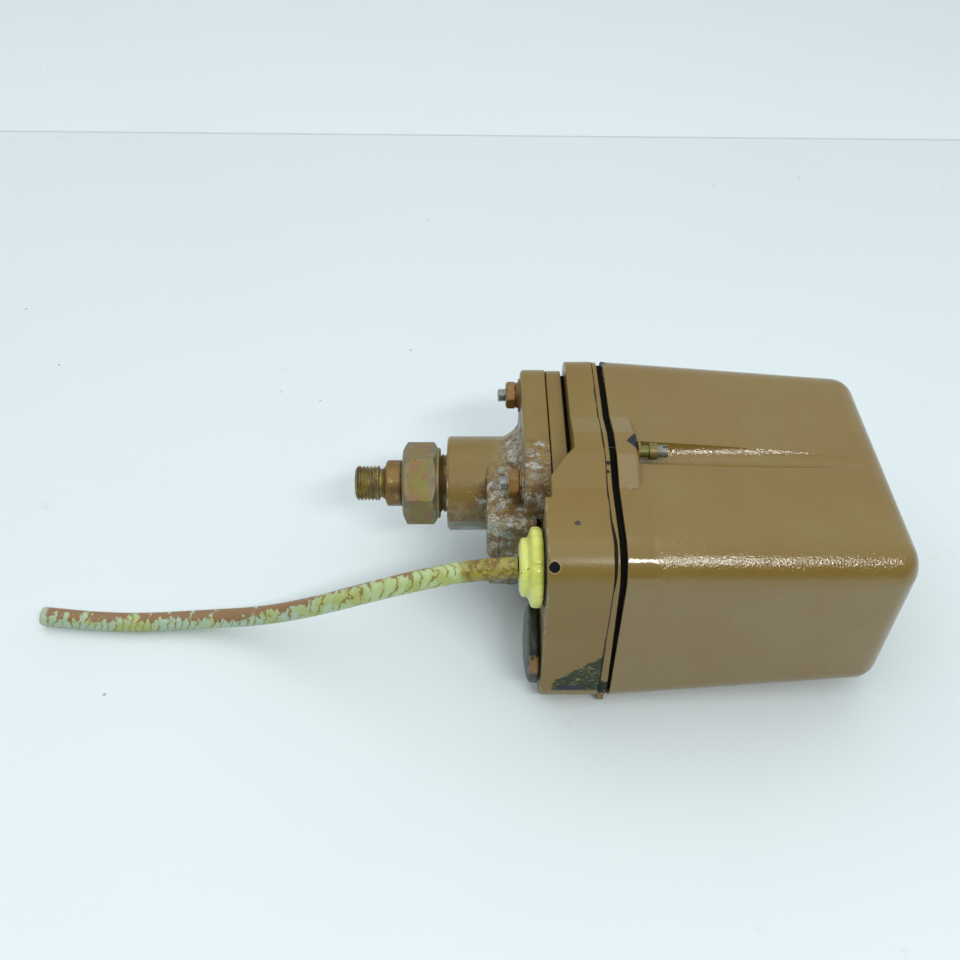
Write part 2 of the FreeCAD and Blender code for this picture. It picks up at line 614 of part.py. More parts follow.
# ---------------------------------------------------------------- mechanism
def mechanism_frame():
    """One bent sheet: plate on the base, two cheeks and an end plate."""
    cheek_x = (FRAME_PLATE, FRAME_END + SHEET)
    plate = box((FRAME_PLATE, FRAME_PLATE + SHEET), (58.0, 101.0), (CHEEK_BOTTOM, CHEEK_TOP))
    end = box((FRAME_END, FRAME_END + SHEET), CHEEK_Y, (CHEEK_BOTTOM, CHEEK_TOP))
    shape = plate.fuse(end)
    for level in (CHEEK_BOTTOM, CHEEK_TOP - SHEET):
        cheek = box(cheek_x, CHEEK_Y, (level, level + SHEET))
        window = box((57.0, 104.0), (65.5, 79.0), (level - 1, level + SHEET + 1))
        shape = shape.fuse(cheek.cut(window))
    # bracket for the snap switch
    shelf = box((FRAME_PLATE, 77.0), (33.0, 62.5), SHELF_Z)
    tongue = box((FRAME_PLATE, FRAME_PLATE + SHEET), (33.0, CHEEK_Y[0]), (SHELF_Z[0], 46.0))
    shape = shape.fuse(shelf).fuse(tongue)
    shape = shape.cut(rod(9.0, (FRAME_PLATE - 1, FRAME_PLATE + SHEET + 1), AXIS_Y, AXIS_Z))
    for y, z in frame_screw_places():
        shape = shape.cut(rod(FRAME_SCREW_RADIUS + 0.2, (FRAME_PLATE - 1, FRAME_PLATE + SHEET + 1), y, z))
    end_span = (FRAME_END - 1, FRAME_END + SHEET + 1)
    shape = shape.cut(rod(RANGE_SCREW_RADIUS + RUNNING, end_span, AXIS_Y, AXIS_Z))
    shape = shape.cut(rod(DIFFERENTIAL_SCREW_RADIUS + RUNNING, end_span, DIFFERENTIAL_Y, AXIS_Z))
    shape = shape.cut(post(PIN_RADIUS + 0.02, PIVOT_X, PIVOT_Y, (CHEEK_BOTTOM - 1, CHEEK_TOP + 1)))
    for x, y in switch_screw_places():
        shape = shape.cut(post(SWITCH_SCREW_RADIUS + SNUG, x, y, (SHELF_Z[0] - 1, SHELF_Z[1] + 1)))
    for x, y in scale_screw_places():
        shape = shape.cut(post(SCALE_SCREW_RADIUS + SNUG, x, y, (CHEEK_TOP - SHEET - 1, CHEEK_TOP + 1)))
    return shape.removeSplitter()


def frame_screw(y, z):
    head_x = FRAME_PLATE + SHEET
    head = rod(3.6, (head_x, head_x + 2.4), y, z)
    return slotted(head.fuse(rod(FRAME_SCREW_RADIUS, (33.8, head_x), y, z)), head_x + 2.4, y, z, 1.0, 1.2)


def pivot_pin():
    return post(PIN_RADIUS, PIVOT_X, PIVOT_Y, (CHEEK_BOTTOM - 1.6, CHEEK_TOP + 1.6))


def pivot_clip(z):
    clip = post(4.2, PIVOT_X, PIVOT_Y, (z, z + 0.8))
    clip = clip.cut(post(PIN_RADIUS + 0.02, PIVOT_X, PIVOT_Y, (z - 1, z + 2)))
    return clip.cut(box((PIVOT_X - 1.4, PIVOT_X + 1.4), (PIVOT_Y, PIVOT_Y + 5), (z - 1, z + 2)))


def main_lever():
    z = (AXIS_Z - LEVER_HALF_WIDTH, AXIS_Z + LEVER_HALF_WIDTH)
    bar = box((LEVER_FACE, SPRING_CAP), (44.5, PIVOT_Y), z)
    hub = post(5.0, PIVOT_X, PIVOT_Y, z)
    return bar.fuse(hub).cut(post(PIN_RADIUS + RUNNING, PIVOT_X, PIVOT_Y, (0, 80))).removeSplitter()


def lever_spring_cap():
    cap = rod(9.0, (SPRING_CAP, SPRING_CAP + 1.5), AXIS_Y, AXIS_Z)
    return cap.fuse(rod(5.2, (SPRING_CAP + 1.5, SPRING_CAP + 3.5), AXIS_Y, AXIS_Z))


def push_rod():
    tip = LEVER_FACE - APART
    piston_x = CHAMBER_BACK + DIAPHRAGM_THICKNESS + APART
    profile = [(piston_x, 0), (piston_x, PISTON_RADIUS), (piston_x + 2.6, PISTON_RADIUS),
               (piston_x + 3.6, PUSH_ROD_RADIUS), (tip - 1.2, PUSH_ROD_RADIUS), (tip, 1.8), (tip, 0)]
    return turned(profile, AXIS_Y, AXIS_Z)


def rod_bush():
    return ring(BUSH_RADIUS, PUSH_ROD_RADIUS + RUNNING, (RING_FACE, 38.2), AXIS_Y, AXIS_Z)


def range_spring():
    return helix_spring(7.1, 1.1, (SPRING_CAP + 1.6, RANGE_SEAT[0] - 0.1), 8, AXIS_Y, AXIS_Z)


def range_seat():
    half = 8.8
    block = box(RANGE_SEAT, (AXIS_Y - half, AXIS_Y + half), (AXIS_Z - half, AXIS_Z + half))
    edges = [edge for edge in block.Edges if abs(edge.tangentAt(0).x) > 0.9]
    block = block.makeChamfer(2.0, edges)
    return block.cut(rod(RANGE_SCREW_RADIUS + RUNNING, (80, 100), AXIS_Y, AXIS_Z))


def range_pointer():
    """Bent strip from the seat up through the window and over the scale."""
    x = (RANGE_SEAT[1], RANGE_SEAT[1] + 1.0)
    leg = box(x, (74.0, 78.0), (42.0, 69.0))
    arm = box(x, (74.0, 84.4), (68.2, 69.0))
    return leg.fuse(arm).cut(rod(RANGE_SCREW_RADIUS + 0.6, (90, 96), AXIS_Y, AXIS_Z)).removeSplitter()


def adjusting_screw(radius, y, tip, collar, head_radius, head_length, slot):
    collar_x = FRAME_END - APART
    head_x = FRAME_END + SHEET + APART
    end = head_x + head_length
    profile = [(tip, 0), (tip, radius - 0.8), (tip + 0.8, radius), (collar_x - 1.6, radius),
               (collar_x - 1.6, collar), (collar_x, collar), (collar_x, radius), (head_x, radius),
               (head_x, head_radius), (end - 0.5, head_radius), (end, head_radius - 0.5), (end, 0)]
    return slotted(turned(profile, y, AXIS_Z), end, y, AXIS_Z, slot, 2.0)


def range_screw():
    return adjusting_screw(RANGE_SCREW_RADIUS, AXIS_Y, 58.0, 6.0, 6.6, 5.5, 1.6)


def differential_screw():
    return adjusting_screw(DIFFERENTIAL_SCREW_RADIUS, DIFFERENTIAL_Y, 60.0, 5.0, 6.0, 6.0, 1.2)


def differential_spring():
    ends = (SPRING_CAP + APART, DIFFERENTIAL_SEAT[0] - 0.1)
    return helix_spring(3.0, 0.55, ends, 11, DIFFERENTIAL_Y, AXIS_Z)


def differential_seat():
    return chamfered_hexagon(6.4, DIFFERENTIAL_SEAT, DIFFERENTIAL_Y, AXIS_Z, 30.0).cut(
        rod(DIFFERENTIAL_SCREW_RADIUS + RUNNING, (78, 86), DIFFERENTIAL_Y, AXIS_Z))


def scale_screw_places():
    middle = 84.6
    return [(SCALE_X[0] + 2.4, middle), (SCALE_X[1] - 2.4, middle)]


def scale_plate():
    plate = box(SCALE_X, SCALE_Y, (CHEEK_TOP, CHEEK_TOP + SCALE_THICKNESS))
    for x, y in scale_screw_places():
        plate = plate.cut(post(SCALE_SCREW_RADIUS + 0.1, x, y, (60, 70)))
    return plate


def scale_screw(x, y):
    top = CHEEK_TOP + SCALE_THICKNESS
    stem = post(SCALE_SCREW_RADIUS, x, y, (CHEEK_TOP - SHEET, top))
    return post(1.9, x, y, (top, top + 1.0)).fuse(stem)


# ---------------------------------------------------------------- snap switch and terminals
def switch_screw_places():
    return [(69.0, 37.2), (69.0, 58.8)]


def switch_body():
    body = box(SWITCH_X, SWITCH_Y, SWITCH_Z)
    body = body.makeFillet(0.8, [edge for edge in body.Edges if abs(edge.tangentAt(0).z) > 0.9])
    for x, y in switch_screw_places():
        body = body.cut(post(SWITCH_SCREW_RADIUS + 0.06, x, y, (30, 50)))
    return body.cut(rod(PLUNGER_RADIUS + RUNNING, (55, 61.5), PLUNGER_Y, AXIS_Z))


def switch_plunger():
    return rod(PLUNGER_RADIUS, (SPRING_CAP + APART, 58.6), PLUNGER_Y, AXIS_Z)


def switch_screw(x, y):
    top = SWITCH_Z[1]
    head = post(2.7, x, y, (top, top + 2.0))
    screw = head.fuse(post(SWITCH_SCREW_RADIUS, x, y, (29.4, top)))
    return screw.cut(box((x - 3, x + 3), (y - 0.4, y + 0.4), (top + 1.0, top + 3)))


def switch_tabs():
    x = (SWITCH_X[1], SWITCH_X[1] + 6.5)
    return [box(x, (y, y + 4.6), (37.6, 38.4)) for y in (37.0, 46.0, 55.0)]


def terminal_bracket():
    """Z-shaped strip from the base floor to the terminal block."""
    foot = box((24.0, 25.6), (19.0, 33.0), (32.0, 46.0))
    web = box((24.0, 46.0), (19.0, 20.6), (32.0, 46.0))
    table = box((44.4, 46.0), (12.0, 28.0), (22.0, 56.0))
    shape = foot.fuse(web).fuse(table)
    return shape.cut(rod(1.6, (23, 27), BRACKET_SCREW_Y, BRACKET_SCREW_Z)).removeSplitter()


def bracket_screw():
    stem = rod(1.5, (24.0, 25.6), BRACKET_SCREW_Y, BRACKET_SCREW_Z)
    head = rod(3.0, (25.6, 27.4), BRACKET_SCREW_Y, BRACKET_SCREW_Z)
    return slotted(head.fuse(stem), 27.4, BRACKET_SCREW_Y, BRACKET_SCREW_Z, 0.8, 0.9)


def terminal_block():
    body = box(TERMINAL_X, TERMINAL_Y, TERMINAL_Z)
    barrier = 1.2
    for level in TERMINAL_LEVELS:
        z = (level - 5 + barrier, level + 5 - barrier)
        body = body.cut(box((CLAMP_X, 59.0), (TERMINAL_Y[0] - 1, TERMINAL_Y[1] + 1), z))
        body = body.cut(rod(2.1, (48.0, 59.0), TERMINAL_MIDDLE_Y, level))
    return body


def terminal_clamp(level):
    plate = box((CLAMP_X, CLAMP_X + 1.0), (13.0, 27.0), (level - 3.4, level + 3.4))
    return plate.cut(rod(1.9, (50, 60), TERMINAL_MIDDLE_Y, level))


def terminal_screw(level):
    head_x = CLAMP_X + 1.0
    top = head_x + 2.2
    head = rod(2.9, (head_x, top), TERMINAL_MIDDLE_Y, level)
    screw = head.fuse(rod(1.8, (48.6, head_x), TERMINAL_MIDDLE_Y, level))
    return slotted(screw, top, TERMINAL_MIDDLE_Y, level, 0.8, 1.1)


def supply_cores():
    """Three cable cores from the gland to the terminals."""
    turns = (90.0, 210.0, 330.0)
    bends = [
        [(43.5, 10.5, 60.2), (49.0, 7.4, 57.5), (53.5, 7.0, 55.0)],
        [(42.5, 8.8, 54.5), (48.0, 6.9, 48.0), (53.0, 6.6, 44.8)],
        [(42.0, 12.5, 50.0), (47.0, 8.6, 40.0), (53.0, 7.0, 35.5)],
    ]
    cores = []
    for turn, middle, level in zip(turns, bends, reversed(TERMINAL_LEVELS)):
        y = ENTRY_Y + 1.3 * math.cos(math.radians(turn))
        z = GLAND_Z + 1.3 * math.sin(math.radians(turn))
        route = [(TAIL_END, y, z), (TAIL_END + 4.5, y, z)] + middle
        route += [(55.9, 8.8, level), (55.9, 16.2, level - 0.2)]
        cores.append(tube_along(route, CORE_RADIUS)[0])
    return cores


def switch_leads():
    """Leads from the terminals to the snap switch tabs."""
    leads = []
    for index, level in enumerate(TERMINAL_LEVELS[1:]):
        tab_y = 39.3 + 9.0 * index
        route = [(55.9, 23.9, level), (57.6, 28.6, level), (64.0, 31.2, level - 1.0 - index),
                 (76.0 + index, 30.8 - index, 44.6 + 2.0 * index),
                 (84.0 + 2 * index, 36.0 + 4 * index, 43.0 + index),
                 (86.0, tab_y, 38.6), (79.6, tab_y, 38.0)]
        leads.append(tube_along(route, CORE_RADIUS)[0])
    return leads


# ---------------------------------------------------------------- write the parts
def main():
    os.makedirs("parts", exist_ok=True)
    nut_turns = (8.0, 21.0, 34.0, 12.0)
    save("base_housing", base_housing())
    save("sealing_frame", sealing_frame())
    save("cover_gasket", cover_gasket())
    save("earth_screw", earth_screw())
    save("pressure_chamber", pressure_chamber())
    save("clamp_flange", clamp_flange())
    save("diaphragm", diaphragm())
    save("spacer_gasket", spacer_gasket())
    save("box_gasket", box_gasket())
    save("flange_studs", *[flange_stud(y, z) for y, z in stud_places()])
    save("flange_nuts", *[flange_nut(y, z, turn) for (y, z), turn in zip(stud_places(), nut_turns)])
    save("flange_washers", *[flange_washer(y, z) for y, z in stud_places()])
    save("stud_fitting", stud_fitting())
    save("union_nut", union_nut())
    save("connection_nipple", connection_nipple())
    save("gland_nut", gland_nut())
    save("gland_body", gland_body())
    save("gland_seal", gland_seal())
    save("gland_locknut", gland_locknut())
    save("gland_washer", entry_washer(GLAND_Z))
    save("blanking_plug", blanking_plug())
    save("plug_washer", entry_washer(PLUG_Z))
    save("cable_tail", cable_tail())
    save("cable", cable())
    save("cover_shell", cover_shell())
    save("cover_screw", cover_screw())
    save("screw_retainer", screw_retainer())
    save("mechanism_frame", mechanism_frame())
    save("frame_screws", *[frame_screw(y, z) for y, z in frame_screw_places()])
    save("lever_pivot_pin", pivot_pin())
    save("pivot_clips", pivot_clip(CHEEK_BOTTOM - 1.2), pivot_clip(CHEEK_TOP + 0.4))
    save("main_lever", main_lever())
    save("lever_spring_cap", lever_spring_cap())
    save("push_rod", push_rod())
    save("rod_bush", rod_bush())
    save("range_spring", range_spring())
    save("range_seat", range_seat())
    save("range_pointer", range_pointer())
    save("range_screw", range_screw())
    save("differential_spring", differential_spring())
    save("differential_seat", differential_seat())
    save("differential_screw", differential_screw())
    save("scale_plate", scale_plate())
    save("scale_screws", *[scale_screw(x, y) for x, y in scale_screw_places()])
    save("snap_switch_body", switch_body())
    save("snap_switch_plunger", switch_plunger())
    save("snap_switch_screws", *[switch_screw(x, y) for x, y in switch_screw_places()])
    save("snap_switch_tabs", *switch_tabs())
    save("terminal_bracket", terminal_bracket())
    save("bracket_screw", bracket_screw())
    save("terminal_block", terminal_block())
    save("terminal_clamps", *[terminal_clamp(level) for level in TERMINAL_LEVELS])
    save("terminal_screws", *[terminal_screw(level) for level in TERMINAL_LEVELS])
    save("supply_cores", *supply_cores())
    save("switch_leads", *switch_leads())


main()
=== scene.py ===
import math

import bmesh
import bpy
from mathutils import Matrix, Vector


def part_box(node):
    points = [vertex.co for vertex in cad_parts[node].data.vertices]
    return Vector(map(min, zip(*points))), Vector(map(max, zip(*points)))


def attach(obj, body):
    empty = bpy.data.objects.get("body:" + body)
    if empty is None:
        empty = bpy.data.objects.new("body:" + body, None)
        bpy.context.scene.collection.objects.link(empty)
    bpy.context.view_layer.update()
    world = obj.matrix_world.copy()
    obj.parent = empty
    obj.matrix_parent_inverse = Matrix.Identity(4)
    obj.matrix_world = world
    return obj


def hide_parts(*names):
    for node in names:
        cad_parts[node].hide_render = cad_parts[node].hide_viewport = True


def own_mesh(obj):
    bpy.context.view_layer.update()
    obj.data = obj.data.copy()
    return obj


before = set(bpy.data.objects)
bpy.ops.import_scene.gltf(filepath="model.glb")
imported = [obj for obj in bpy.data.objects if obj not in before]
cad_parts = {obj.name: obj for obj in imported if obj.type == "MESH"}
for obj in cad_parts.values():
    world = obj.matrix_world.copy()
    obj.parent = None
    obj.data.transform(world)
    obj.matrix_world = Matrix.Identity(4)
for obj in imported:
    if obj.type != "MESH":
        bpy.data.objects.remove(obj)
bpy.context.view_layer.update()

# Looks of the pressure switch.  Sizes are written in millimetres of the part's layout frame
# (X from the pressure connection to the cover, Y from the front wall, Z up); at() turns them
# into the frame's metres.  Lamps and the ground are given in metres.
MM = 0.001
ORIGIN = Vector((45.95, 52.7, 0.0))
AXIS_Y, AXIS_Z = 72.4, 39.6
ENTRY_Y, GLAND_Z, PLUG_Z = 14.7, 59.3, 18.1
STUD_HALF_PITCH = 23.4
CABLE_RADIUS = 3.5
CORE_RING = 1.55
SEAM_X = 40.95
RIDGE_CHIP = (22.6, 2.9, 73.3)
TOP_CHIP = (30.2, 17.4, 77.4)
FRAME_CHIPS = (((41.7, 41.7, 79.7), 0.8), ((41.4, 38.6, 79.0), 0.6))
LUG_CHIP_X, LUG_CHIP_Y = 48.6, 51.2
CHIP_DEPTH = 0.06
BARE_GLOSS = 0.12
SCALE_START = 71.0
UNION_NUT_MIDDLE = -22.3
CABLE_ROUTE = [
    (12.4, 14.7, 59.3), (-3.4, 15.0, 57.5), (-20.6, 17.0, 49.8), (-39.0, 20.4, 38.8),
    (-58.9, 25.0, 25.2), (-80.0, 30.8, 12.2), (-105.0, 34.8, 4.9), (-127.4, 34.3, 3.6),
    (-147.0, 35.1, 3.6), (-164.5, 37.4, 3.6),
]
CAMERA_PLACE = (0.0, -188.6, 302.2)
CAMERA_PITCH_DEG = 45.0
CAMERA_LENS = 36.86
LAMP_COLOUR = (1.0, 0.99, 0.97)
WORLD_BRIGHT_TOWARDS = (0.0, 0.6, 0.8)
WORLD_DIM = (0.10, 0.11, 0.115, 1.0)
WORLD_BRIGHT = (0.84, 0.91, 0.94, 1.0)
WORLD_STRENGTH = 0.74


def at(x, y, z):
    """A layout point in metres of the frame."""
    return (Vector((x, y, z)) - ORIGIN) * MM


def srgb(red, green, blue):
    """A colour given in 0..255 display values, as linear light."""
    return tuple(((c / 255 + 0.055) / 1.055) ** 2.4 for c in (red, green, blue))


# ---------------------------------------------------------------- camera, light, ground
def add_camera():
    camera = bpy.data.objects.new("camera", bpy.data.cameras.new("camera"))
    camera.data.sensor_width = 36.0
    camera.data.lens = CAMERA_LENS
    camera.data.clip_start = 0.01
    camera.location = at(*CAMERA_PLACE)
    camera.rotation_euler = (math.radians(CAMERA_PITCH_DEG), 0.0, 0.0)
    bpy.context.scene.collection.objects.link(camera)
    bpy.context.scene.camera = camera


def add_lamp(name, size, power, place, aim):
    lamp = bpy.data.lights.new(name, "AREA")
    lamp.shape = "RECTANGLE"
    lamp.size, lamp.size_y = size
    lamp.energy = power
    lamp.color = LAMP_COLOUR
    holder = bpy.data.objects.new(name, lamp)
    holder.location = place
    holder.rotation_euler = (Vector(aim) - Vector(place)).to_track_quat("-Z", "Y").to_euler()
    bpy.context.scene.collection.objects.link(holder)


def add_world():
    """Even white studio light, brighter above and behind than on the camera's side."""
    world = bpy.data.worlds.new("studio")
    world.use_nodes = True
    bpy.context.scene.world = world
    nodes, links = world.node_tree.nodes, world.node_tree.links
    background = nodes["Background"]
    direction = nodes.new("ShaderNodeTexCoord")
    blend = nodes.new("ShaderNodeVectorMath")
    blend.operation = "DOT_PRODUCT"
    blend.inputs[1].default_value = WORLD_BRIGHT_TOWARDS
    reach = nodes.new("ShaderNodeMapRange")
    reach.interpolation_type = "SMOOTHSTEP"
    reach.inputs["From Min"].default_value = -0.35
    reach.inputs["From Max"].default_value = 0.65
    mix = nodes.new("ShaderNodeMix")
    mix.data_type = "RGBA"
    mix.inputs["A"].default_value = WORLD_DIM
    mix.inputs["B"].default_value = WORLD_BRIGHT
    links.new(direction.outputs["Generated"], blend.inputs[0])
    links.new(blend.outputs["Value"], reach.inputs["Value"])
    links.new(reach.outputs[0], mix.inputs["Factor"])
    links.new(mix.outputs["Result"], background.inputs["Color"])
    background.inputs["Strength"].default_value = WORLD_STRENGTH


# ---------------------------------------------------------------- material nodes
class Surface:
    """The nodes of one material.  self.place is the layout position in millimetres."""

    def __init__(self, name):
        self.material = bpy.data.materials.new(name)
        self.material.use_nodes = True
        self.tree = self.material.node_tree
        self.tree.nodes.clear()
        output = self.tree.nodes.new("ShaderNodeOutputMaterial")
        self.shader = self.tree.nodes.new("ShaderNodeBsdfPrincipled")
        self.tree.links.new(self.shader.outputs[0], output.inputs[0])
        where = self.tree.nodes.new("ShaderNodeTexCoord")
        self.place = self.vector("MULTIPLY_ADD", where.outputs["Object"], (1000.0,) * 3, tuple(ORIGIN))
        self.x, self.y, self.z = self.split(self.place)
        self.facing = self.split(where.outputs["Normal"])

    def feed(self, socket, value):
        if isinstance(value, bpy.types.NodeSocket):
            self.tree.links.new(value, socket)
        elif socket.type == "RGBA":
            socket.default_value = (*value[:3], 1.0)
        else:
            socket.default_value = value

    def add(self, kind, inputs, output=0, **settings):
        made = self.tree.nodes.new(kind)
        for key, value in settings.items():
            setattr(made, key, value)
        for key, value in inputs.items():
            self.feed(made.inputs[key], value)
        return made.outputs[output]

    def math(self, operation, a, b=0.0, c=0.0):
        return self.add("ShaderNodeMath", {0: a, 1: b, 2: c}, operation=operation)

    def vector(self, operation, a, b, c=(0.0, 0.0, 0.0)):
        return self.add("ShaderNodeVectorMath", {0: a, 1: b, 2: c}, operation=operation)

    def split(self, vector):
        made = self.tree.nodes.new("ShaderNodeSeparateXYZ")
        self.feed(made.inputs[0], vector)
        return made.outputs[0], made.outputs[1], made.outputs[2]

    def stretched(self, x, y, z):
        return self.vector("MULTIPLY", self.place, (x, y, z))

    def noise(self, scale, detail=2.0, rough=0.5, warp=0.0, place=None):
        """Noise from 0 to 1; scale is in features per millimetre."""
        inputs = {"Vector": place or self.place, "Scale": scale, "Detail": detail,
                  "Roughness": rough, "Distortion": warp}
        return self.add("ShaderNodeTexNoise", inputs)

    def centred(self, *noise):
        """Noise from -0.5 to 0.5."""
        return self.math("SUBTRACT", self.noise(*noise), 0.5)

    def ragged(self, reach, *noise):
        """Noise about zero, reach across, to fray the edge of a mask."""
        return self.math("MULTIPLY", self.centred(*noise), reach)

    def invert(self, mask):
        return self.math("SUBTRACT", 1.0, mask)

    def away(self, value, middle):
        """How far a value is from the middle, either way."""
        return self.math("ABSOLUTE", self.math("SUBTRACT", value, middle))

    def repeated(self, value, half_pitch):
        """How far a value is from the nearest of lines two half pitches apart."""
        return self.math("ABSOLUTE", self.math("WRAP", value, half_pitch, -half_pitch))

    def cells(self, scale):
        return self.add("ShaderNodeTexVoronoi", {"Vector": self.place, "Scale": scale})

    def step(self, value, low, high):
        """0 below low, 1 above high, smooth between; low may be the larger."""
        if low > high:
            return self.invert(self.step(value, high, low))
        inputs = {"Value": value, "From Min": low, "From Max": high}
        return self.add("ShaderNodeMapRange", inputs, interpolation_type="SMOOTHSTEP")

    def both(self, *masks):
        result = masks[0]
        for mask in masks[1:]:
            result = self.math("MULTIPLY", result, mask)
        return result

    def either(self, *masks):
        result = masks[0]
        for mask in masks[1:]:
            result = self.math("MAXIMUM", result, mask)
        return result

    def plus(self, a, b, weight=1.0):
        return self.math("MULTIPLY_ADD", b, weight, a)

    def mix(self, mask, a, b):
        inputs = {"Factor": mask, "A": a, "B": b}
        made = self.tree.nodes.new("ShaderNodeMix")
        made.data_type = "RGBA"
        for key, value in inputs.items():
            found = [s for s in made.inputs if s.name == key and s.enabled]
            self.feed(found[0], value)
        return [s for s in made.outputs if s.enabled][0]

    def ball(self, centre, radius, soft, ragged, scale):
        """A round spot about a layout point, with a ragged edge."""
        reach = self.add("ShaderNodeVectorMath", {0: self.place, 1: centre}, output=1, operation="DISTANCE")
        reach = self.plus(reach, self.centred(scale, 3.0), ragged * 2)
        return self.step(reach, radius + soft / 2, radius - soft / 2)

    def bump(self, height, depth, normal=None):
        """A normal from a height of 0..1 that stands for depth millimetres."""
        inputs = {"Height": height, "Distance": depth * MM}
        if normal is not None:
            inputs["Normal"] = normal
        return self.add("ShaderNodeBump", inputs)

    def rounded(self, radius, where=None):
        """A normal that rounds sharp edges off, everywhere or under a mask."""
        soft = self.add("ShaderNodeBevel", {"Radius": radius * MM}, samples=4)
        if where is None:
            return soft
        plain = self.add("ShaderNodeNewGeometry", {}, output="Normal")
        change = self.vector("SUBTRACT", soft, plain)
        part = self.add("ShaderNodeVectorMath", {0: change, "Scale": where}, operation="SCALE")
        return self.vector("ADD", plain, part)

    def finish(self, **sockets):
        for key, value in sockets.items():
            self.feed(self.shader.inputs[key.replace("_", " ")], value)
        return self.material


# ---------------------------------------------------------------- colours
PAINT = srgb(129, 103, 44)
PAINT_DEEP = srgb(121, 90, 33)
PAINT_DUSTY = srgb(131, 109, 51)
CASTING = srgb(132, 138, 130)
CORROSION = srgb(196, 200, 192)
ZINC_YELLOW = srgb(168, 156, 84)
ZINC_OLIVE = srgb(112, 106, 62)
ZINC_PURPLE = srgb(134, 116, 98)
STEEL = srgb(176, 178, 176)


def painted(name, peel, chips=None, soft_below=None, polish=0.26, gloss=0.5):
    """Brown sprayed paint with an orange peel.  chips adds the damage and returns the colour and the
    bare mask.  Edges are softened everywhere, or only below the station soft_below.  polish is the
    least roughness, and gloss the paint's specular level, which is lower where it is chipped."""
    s = Surface(name)
    drift = s.noise(0.035, 3.0, 0.55)
    blotch = s.noise(0.16, 4.0, 0.6)
    colour = s.mix(s.step(drift, 0.35, 0.7), PAINT, PAINT_DUSTY)
    colour = s.mix(s.both(s.step(blotch, 0.52, 0.72), 0.12), colour, PAINT_DEEP)
    grit = s.both(s.step(s.noise(1.9, 1.0), 0.70, 0.76), s.step(blotch, 0.45, 0.6), 0.35)
    colour = s.mix(grit, colour, srgb(176, 160, 122))
    pits = s.both(s.step(s.cells(0.21), 0.085, 0.055), s.step(drift, 0.5, 0.56), 0.6)
    colour = s.mix(pits, colour, srgb(84, 66, 40))
    height = s.plus(s.noise(1.7, 2.0, 0.5), s.noise(0.7, 2.0, 0.45), 0.8)
    height = s.math("MULTIPLY", height, s.plus(0.2, s.step(s.x, 52.5, 56.0), 0.8))
    soft = s.step(s.x, soft_below + 0.5, soft_below) if soft_below else None
    normal = s.bump(height, peel, normal=s.rounded(0.7, soft))
    rough = s.plus(polish, s.noise(0.3, 3.0), 0.08)
    shine = gloss
    if chips:
        colour, bare = chips(s, colour)
        normal = s.bump(s.invert(bare), CHIP_DEPTH, normal=normal)
        rough = s.plus(rough, bare, 0.35)
        shine = s.plus(gloss, bare, BARE_GLOSS - gloss)
    return s.finish(Base_Color=colour, Roughness=rough, Normal=normal, Specular_IOR_Level=shine)


def base_chips(s, colour):
    """Damage on the base: two chips on the ridge and a bare triangle at the bottom corner."""
    hole = s.ball(RIDGE_CHIP, 1.75, 0.25, 0.18, 0.9)
    rim = s.ball(RIDGE_CHIP, 2.1, 0.3, 0.18, 0.9)
    colour = s.mix(s.both(rim, 0.6), colour, srgb(176, 152, 112))
    colour = s.mix(hole, colour, srgb(18, 18, 20))
    small = s.ball(TOP_CHIP, 1.0, 0.25, 0.5, 0.9)
    colour = s.mix(small, colour, srgb(78, 74, 70))
    # triangle: below a slope that rises from 16 at X 24.8 to 31 at X 41, above Z 11
    ragged = s.ragged(9.0, 0.38, 5.0, 0.7)
    slope = s.math("SUBTRACT", s.z, s.math("MULTIPLY_ADD", s.x, 0.92, -6.8))
    under = s.step(s.math("ADD", slope, ragged), 0.3, -0.3)
    above = s.step(s.plus(s.z, ragged, 0.15), 10.7, 11.3)
    right = s.step(s.x, 24.4, 24.8)
    front = s.step(s.y, 1.4, 0.9)
    patch = s.both(under, above, right, front)
    flakes = s.step(s.noise(0.5, 5.0, 0.7, 1.5), 0.50, 0.60)
    bare = s.mix(flakes, srgb(66, 76, 60), srgb(50, 56, 50))
    curl = s.noise(0.34, 2.0, 0.5, 2.5, s.stretched(0.7, 1.0, 1.5))
    streak = s.both(s.step(curl, 0.56, 0.585), s.step(curl, 0.63, 0.605),
                    s.step(s.noise(0.25, 2.0), 0.44, 0.5))
    bare = s.mix(s.both(streak, 0.9), bare, srgb(168, 160, 84))
    navy = s.both(s.step(s.z, 14.2, 13.6), s.step(s.away(s.x, 31.0), 5.2, 4.4))
    bare = s.mix(navy, bare, srgb(62, 64, 74))
    colour = s.mix(patch, colour, bare)
    # the joint with the sealing frame: a dirty line of changing width
    width = s.math("MULTIPLY", s.step(s.noise(0.09, 2.0), 0.42, 0.62), 0.5)
    joint = s.step(s.math("ADD", s.x, width), SEAM_X - 0.2, SEAM_X)
    colour = s.mix(s.both(joint, 0.85), colour, srgb(34, 28, 18))
    edge = s.both(s.step(s.x, 21.5, 20.9), s.step(s.noise(0.3, 4.0), 0.5, 0.6), 0.5)
    colour = s.mix(edge, colour, srgb(170, 158, 128))
    return colour, s.either(hole, small, patch)


